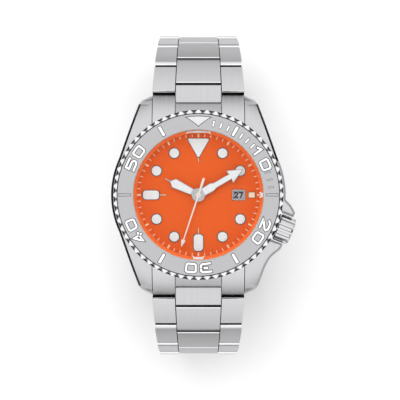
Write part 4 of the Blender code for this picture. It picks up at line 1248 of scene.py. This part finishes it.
def build_bracelet():
    """Fourteen links, seven a side, each as outer plates, a middle block and an inner bar."""
    masters = {
        "first": link_parts(False, True),
        "middle": link_parts(False, False),
        "fork": link_parts(True, False),
    }
    # Third look of plates and blocks, and the only look of the inner bar: near-black painted shade.
    looks = (
        [LINK_BRUSHED, POLISH_AND_HIGHLIGHT, PAINTED_SHADE_STEEL],
        [CENTRE_BRUSHED, POLISH_AND_HIGHLIGHT, PAINTED_SHADE_STEEL],
        [PAINTED_SHADE_STEEL],
    )
    for clock, side in (("12", 1), ("6", -1)):
        y, z = FIRST_HINGE
        for number in range(LINK_COUNT):
            lean = math.radians(LINK_TILTS[number])
            placing = Matrix.Translation((0, side * y * MM, z * MM))
            placing @= Matrix.Rotation(0 if side > 0 else math.pi, 4, "Z")
            placing @= Matrix.Rotation(-lean, 4, "X")
            name = "link_%s_%d" % (clock, number + 1)
            kind = "first" if number == 0 else "middle"
            if side < 0 and number == LINK_COUNT - 1:
                kind = "fork"
            for master, suffix, look in zip(masters[kind], ("plates", "block", "bar"), looks):
                mesh = master.data.copy()
                taper(mesh, number)
                mesh.transform(placing)
                piece = link_object(name + "_" + suffix, mesh)
                nodes = [name] if suffix == "plates" else []
                finish(piece, name, look, nodes)
            y += LINK_PITCH * math.cos(lean)
            z -= LINK_PITCH * math.sin(lean)
    for parts in masters.values():
        for master in parts:
            bpy.data.objects.remove(master, do_unlink=True)


# ---- Clasp ----
def clasp_end():
    """The bracelet's last hinge on the 12 o'clock side."""
    y, z = FIRST_HINGE
    for tilt in LINK_TILTS:
        y += LINK_PITCH * math.cos(math.radians(tilt))
        z -= LINK_PITCH * math.sin(math.radians(tilt))
    return y, z


CLASP_END_Y, CLASP_END_Z = clasp_end()
CLASP_CENTRE_Z = CLASP_END_Z + math.sqrt(CLASP_ARC_RADIUS**2 - CLASP_END_Y**2)
CLASP_END_DEG = math.degrees(math.asin(CLASP_END_Y / CLASP_ARC_RADIUS))


def clasp_point(radius, degrees):
    """A point of the clasp's arc in the YZ plane; zero degrees is straight down."""
    angle = math.radians(degrees)
    return (radius * math.sin(angle), CLASP_CENTRE_Z - radius * math.cos(angle))


def clasp_band(inner, outer, start, end, steps):
    """A curved strip of the clasp between two radii."""
    angles = [start + (end - start) * step / steps for step in range(steps + 1)]
    return [clasp_point(inner, a) for a in angles] + [clasp_point(outer, a) for a in reversed(angles)]


def build_clasp_cover():
    """The cover: a brushed curved channel with adjustment holes, button slots and a notch."""
    width = CLASP_WALL_HALF_WIDTH
    root = CLASP_END_DEG - 1.0
    angles = [COVER_FREE_DEG + (root - COVER_FREE_DEG) * step / 40 for step in range(41)]
    tilt = CLASP_END_DEG - 90
    eye = arc((CLASP_END_Y, CLASP_END_Z), LINK_KNUCKLE, tilt + 90 + 131, tilt + 90 - 131, 24)
    inner = [clasp_point(WALL_INNER, angle) for angle in angles]
    outer = [clasp_point(COVER_OUTER, angle) for angle in reversed(angles)]
    cover = prism("cover_channelled", [inner + eye + outer], -width, width, True)
    channel = clasp_band(50.0, COVER_INNER, COVER_FREE_DEG - 5, root + 5, 40)
    cut(cover, prism("channel", [channel], -width + 1, width - 1, True))
    notch = clasp_band(CLASP_ARC_RADIUS, 59.0, COVER_FREE_DEG - 1, -20.9, 2)
    cut(cover, prism("notch", [notch], -4.4, 4.4, True))
    for degrees in (CLASP_END_DEG, CLASP_END_DEG - 3, CLASP_END_DEG - 6):
        cut(cover, rod_x("adjust_hole", 0.55, -12, 12, *clasp_point(CLASP_ARC_RADIUS, degrees)))
    slot = clasp_band(54.6, 56.2, 10.0 - 2.75, 10.0 + 2.75, 4)
    cut(cover, prism("button_slots", [slot], -12, 12, True))
    cut(cover, rod_x("lever_hole", 0.45, -12, 12, *clasp_point(*LEVER_PIVOT)))
    join(cover, rod_x("fold_pin", 0.35, -width + 0.4, width - 0.4, *clasp_point(*FOLD_PIVOT)))
    bevel(cover, 0.12, 2, 40)
    finish(cover, "cover", [CLASP_BRUSHED], ["clasp_cover"])


def build_safety_lever():
    """The safety lever: a polished-edged plate over the cover's free end, on two ears."""
    plate = clasp_band(57.8, 58.5, -22.0, -14.1, 12)
    lever = prism("lever_plate", [plate], -9.85, 9.85, True)
    ear = clasp_band(54.9, 58.49, -16.5, -11.7, 10)
    pivot = clasp_point(*LEVER_PIVOT)
    for sign in (-1, 1):
        low, high = sorted((sign * 9.25, sign * 9.84))
        join(lever, prism("lever_ear", [ear], low, high, True))
        low, high = sorted((sign * 8.35, sign * 9.5))
        join(lever, rod_x("lever_stub", 0.36, low, high, *pivot))
    bevel(lever, 0.1, 2, 40)
    finish(lever, "lever", [STEEL_POLISH], ["safety_lever"])


# ---- Crystal ----
def build_crystal():
    """The flat sapphire with a small bevel round its rim."""
    profile = [(0.02, 11.6), (15.05, 11.6), (15.3, 11.4), (15.3, 9.3), (0.02, 9.3)]
    finish(turned("crystal_sapphire", profile), "case", [CRYSTAL_CLEAR], ["crystal"])


# ---- Pieces whose CAD shape is shown ----
def dress_cad_nodes(nodes):
    """Give each CAD node that stays in sight or inside its own material."""
    looks = {
        "case_back_gasket": RUBBER,
        "crown_gasket": RUBBER,
        "crystal_gasket": WHITE_PLASTIC,
        "movement_holder": WHITE_PLASTIC,
        "movement_plate": BRASS,
        "cannon_pinion": BRASS,
        "minute_wheel": BRASS,
        "hour_wheel": BRASS,
        "circuit_board": CIRCUIT_GREEN,
        "stepper_coil": COPPER,
    }
    for name, node in nodes.items():
        if node.hide_render:
            continue
        node.data.materials.clear()
        node.data.materials.append(looks.get(name, STEEL_POLISH))


# ---- Scene ----
def build_floor():
    """A pale floor just under the clasp."""
    work = bmesh.new()
    bmesh.ops.create_grid(work, x_segments=1, y_segments=1, size=0.45)
    bmesh.ops.translate(work, vec=(0, 0, -FLOOR_DEPTH), verts=work.verts)
    floor = mesh_piece("floor", work)
    floor.data.materials.append(new_material("floor_pale", (0.66, 0.66, 0.66), 0.9, 0.0)[0])


def build_sky():
    """A bright overhead sky that darkens towards the horizon."""
    world = bpy.data.worlds.new("studio")
    bpy.context.scene.world = world
    world.use_nodes = True
    tree = world.node_tree
    background = tree.nodes["Background"]
    coordinates = tree.nodes.new("ShaderNodeTexCoord")
    split = tree.nodes.new("ShaderNodeSeparateXYZ")
    tree.links.new(coordinates.outputs["Generated"], split.inputs["Vector"])
    levels = ((0.0, 0.1), (0.08, 0.06), (0.25, 0.2), (0.45, 0.8), (0.65, 1.0), (1.0, 0.95))
    sky = ramp(tree, split.outputs["Z"], [(height, grey(level)) for height, level in levels])
    tree.links.new(sky.outputs["Color"], background.inputs["Color"])
    background.inputs["Strength"].default_value = 1.75


def build_key_light():
    """A soft square light above the upper left."""
    data = bpy.data.lights.new("key", "AREA")
    data.shape = "RECTANGLE"
    data.size = 0.3
    data.size_y = 0.3
    data.energy = 1.2
    light = link_object("key", data)
    light.location = (-0.05, 0.17, 0.46)
    light.visible_glossy = False
    light.rotation_euler = (-light.location).to_track_quat("-Z", "Y").to_euler()


def build_camera():
    """The camera straight above the dial."""
    data = bpy.data.cameras.new("camera")
    data.lens = 112.4
    data.sensor_width = 36.0
    camera = link_object("camera", data)
    camera.location = (0.00038, -0.0012, 0.3047)
    bpy.context.scene.camera = camera
    bpy.context.scene.view_settings.view_transform = "Standard"


def main():
    """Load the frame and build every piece."""
    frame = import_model()
    build_floor()
    build_sky()
    build_key_light()
    build_camera()
    build_case()
    build_end_link("12", 1)
    build_end_link("6", -1)
    build_case_back()
    build_dial()
    build_markers()
    build_minute_track()
    build_date_frame()
    build_rehaut()
    build_insert()
    build_bezel()
    build_hands()
    build_date()
    build_crown()
    build_bracelet()
    build_clasp_cover()
    build_safety_lever()
    build_crystal()
    dress_cad_nodes(frame["nodes"])


main()
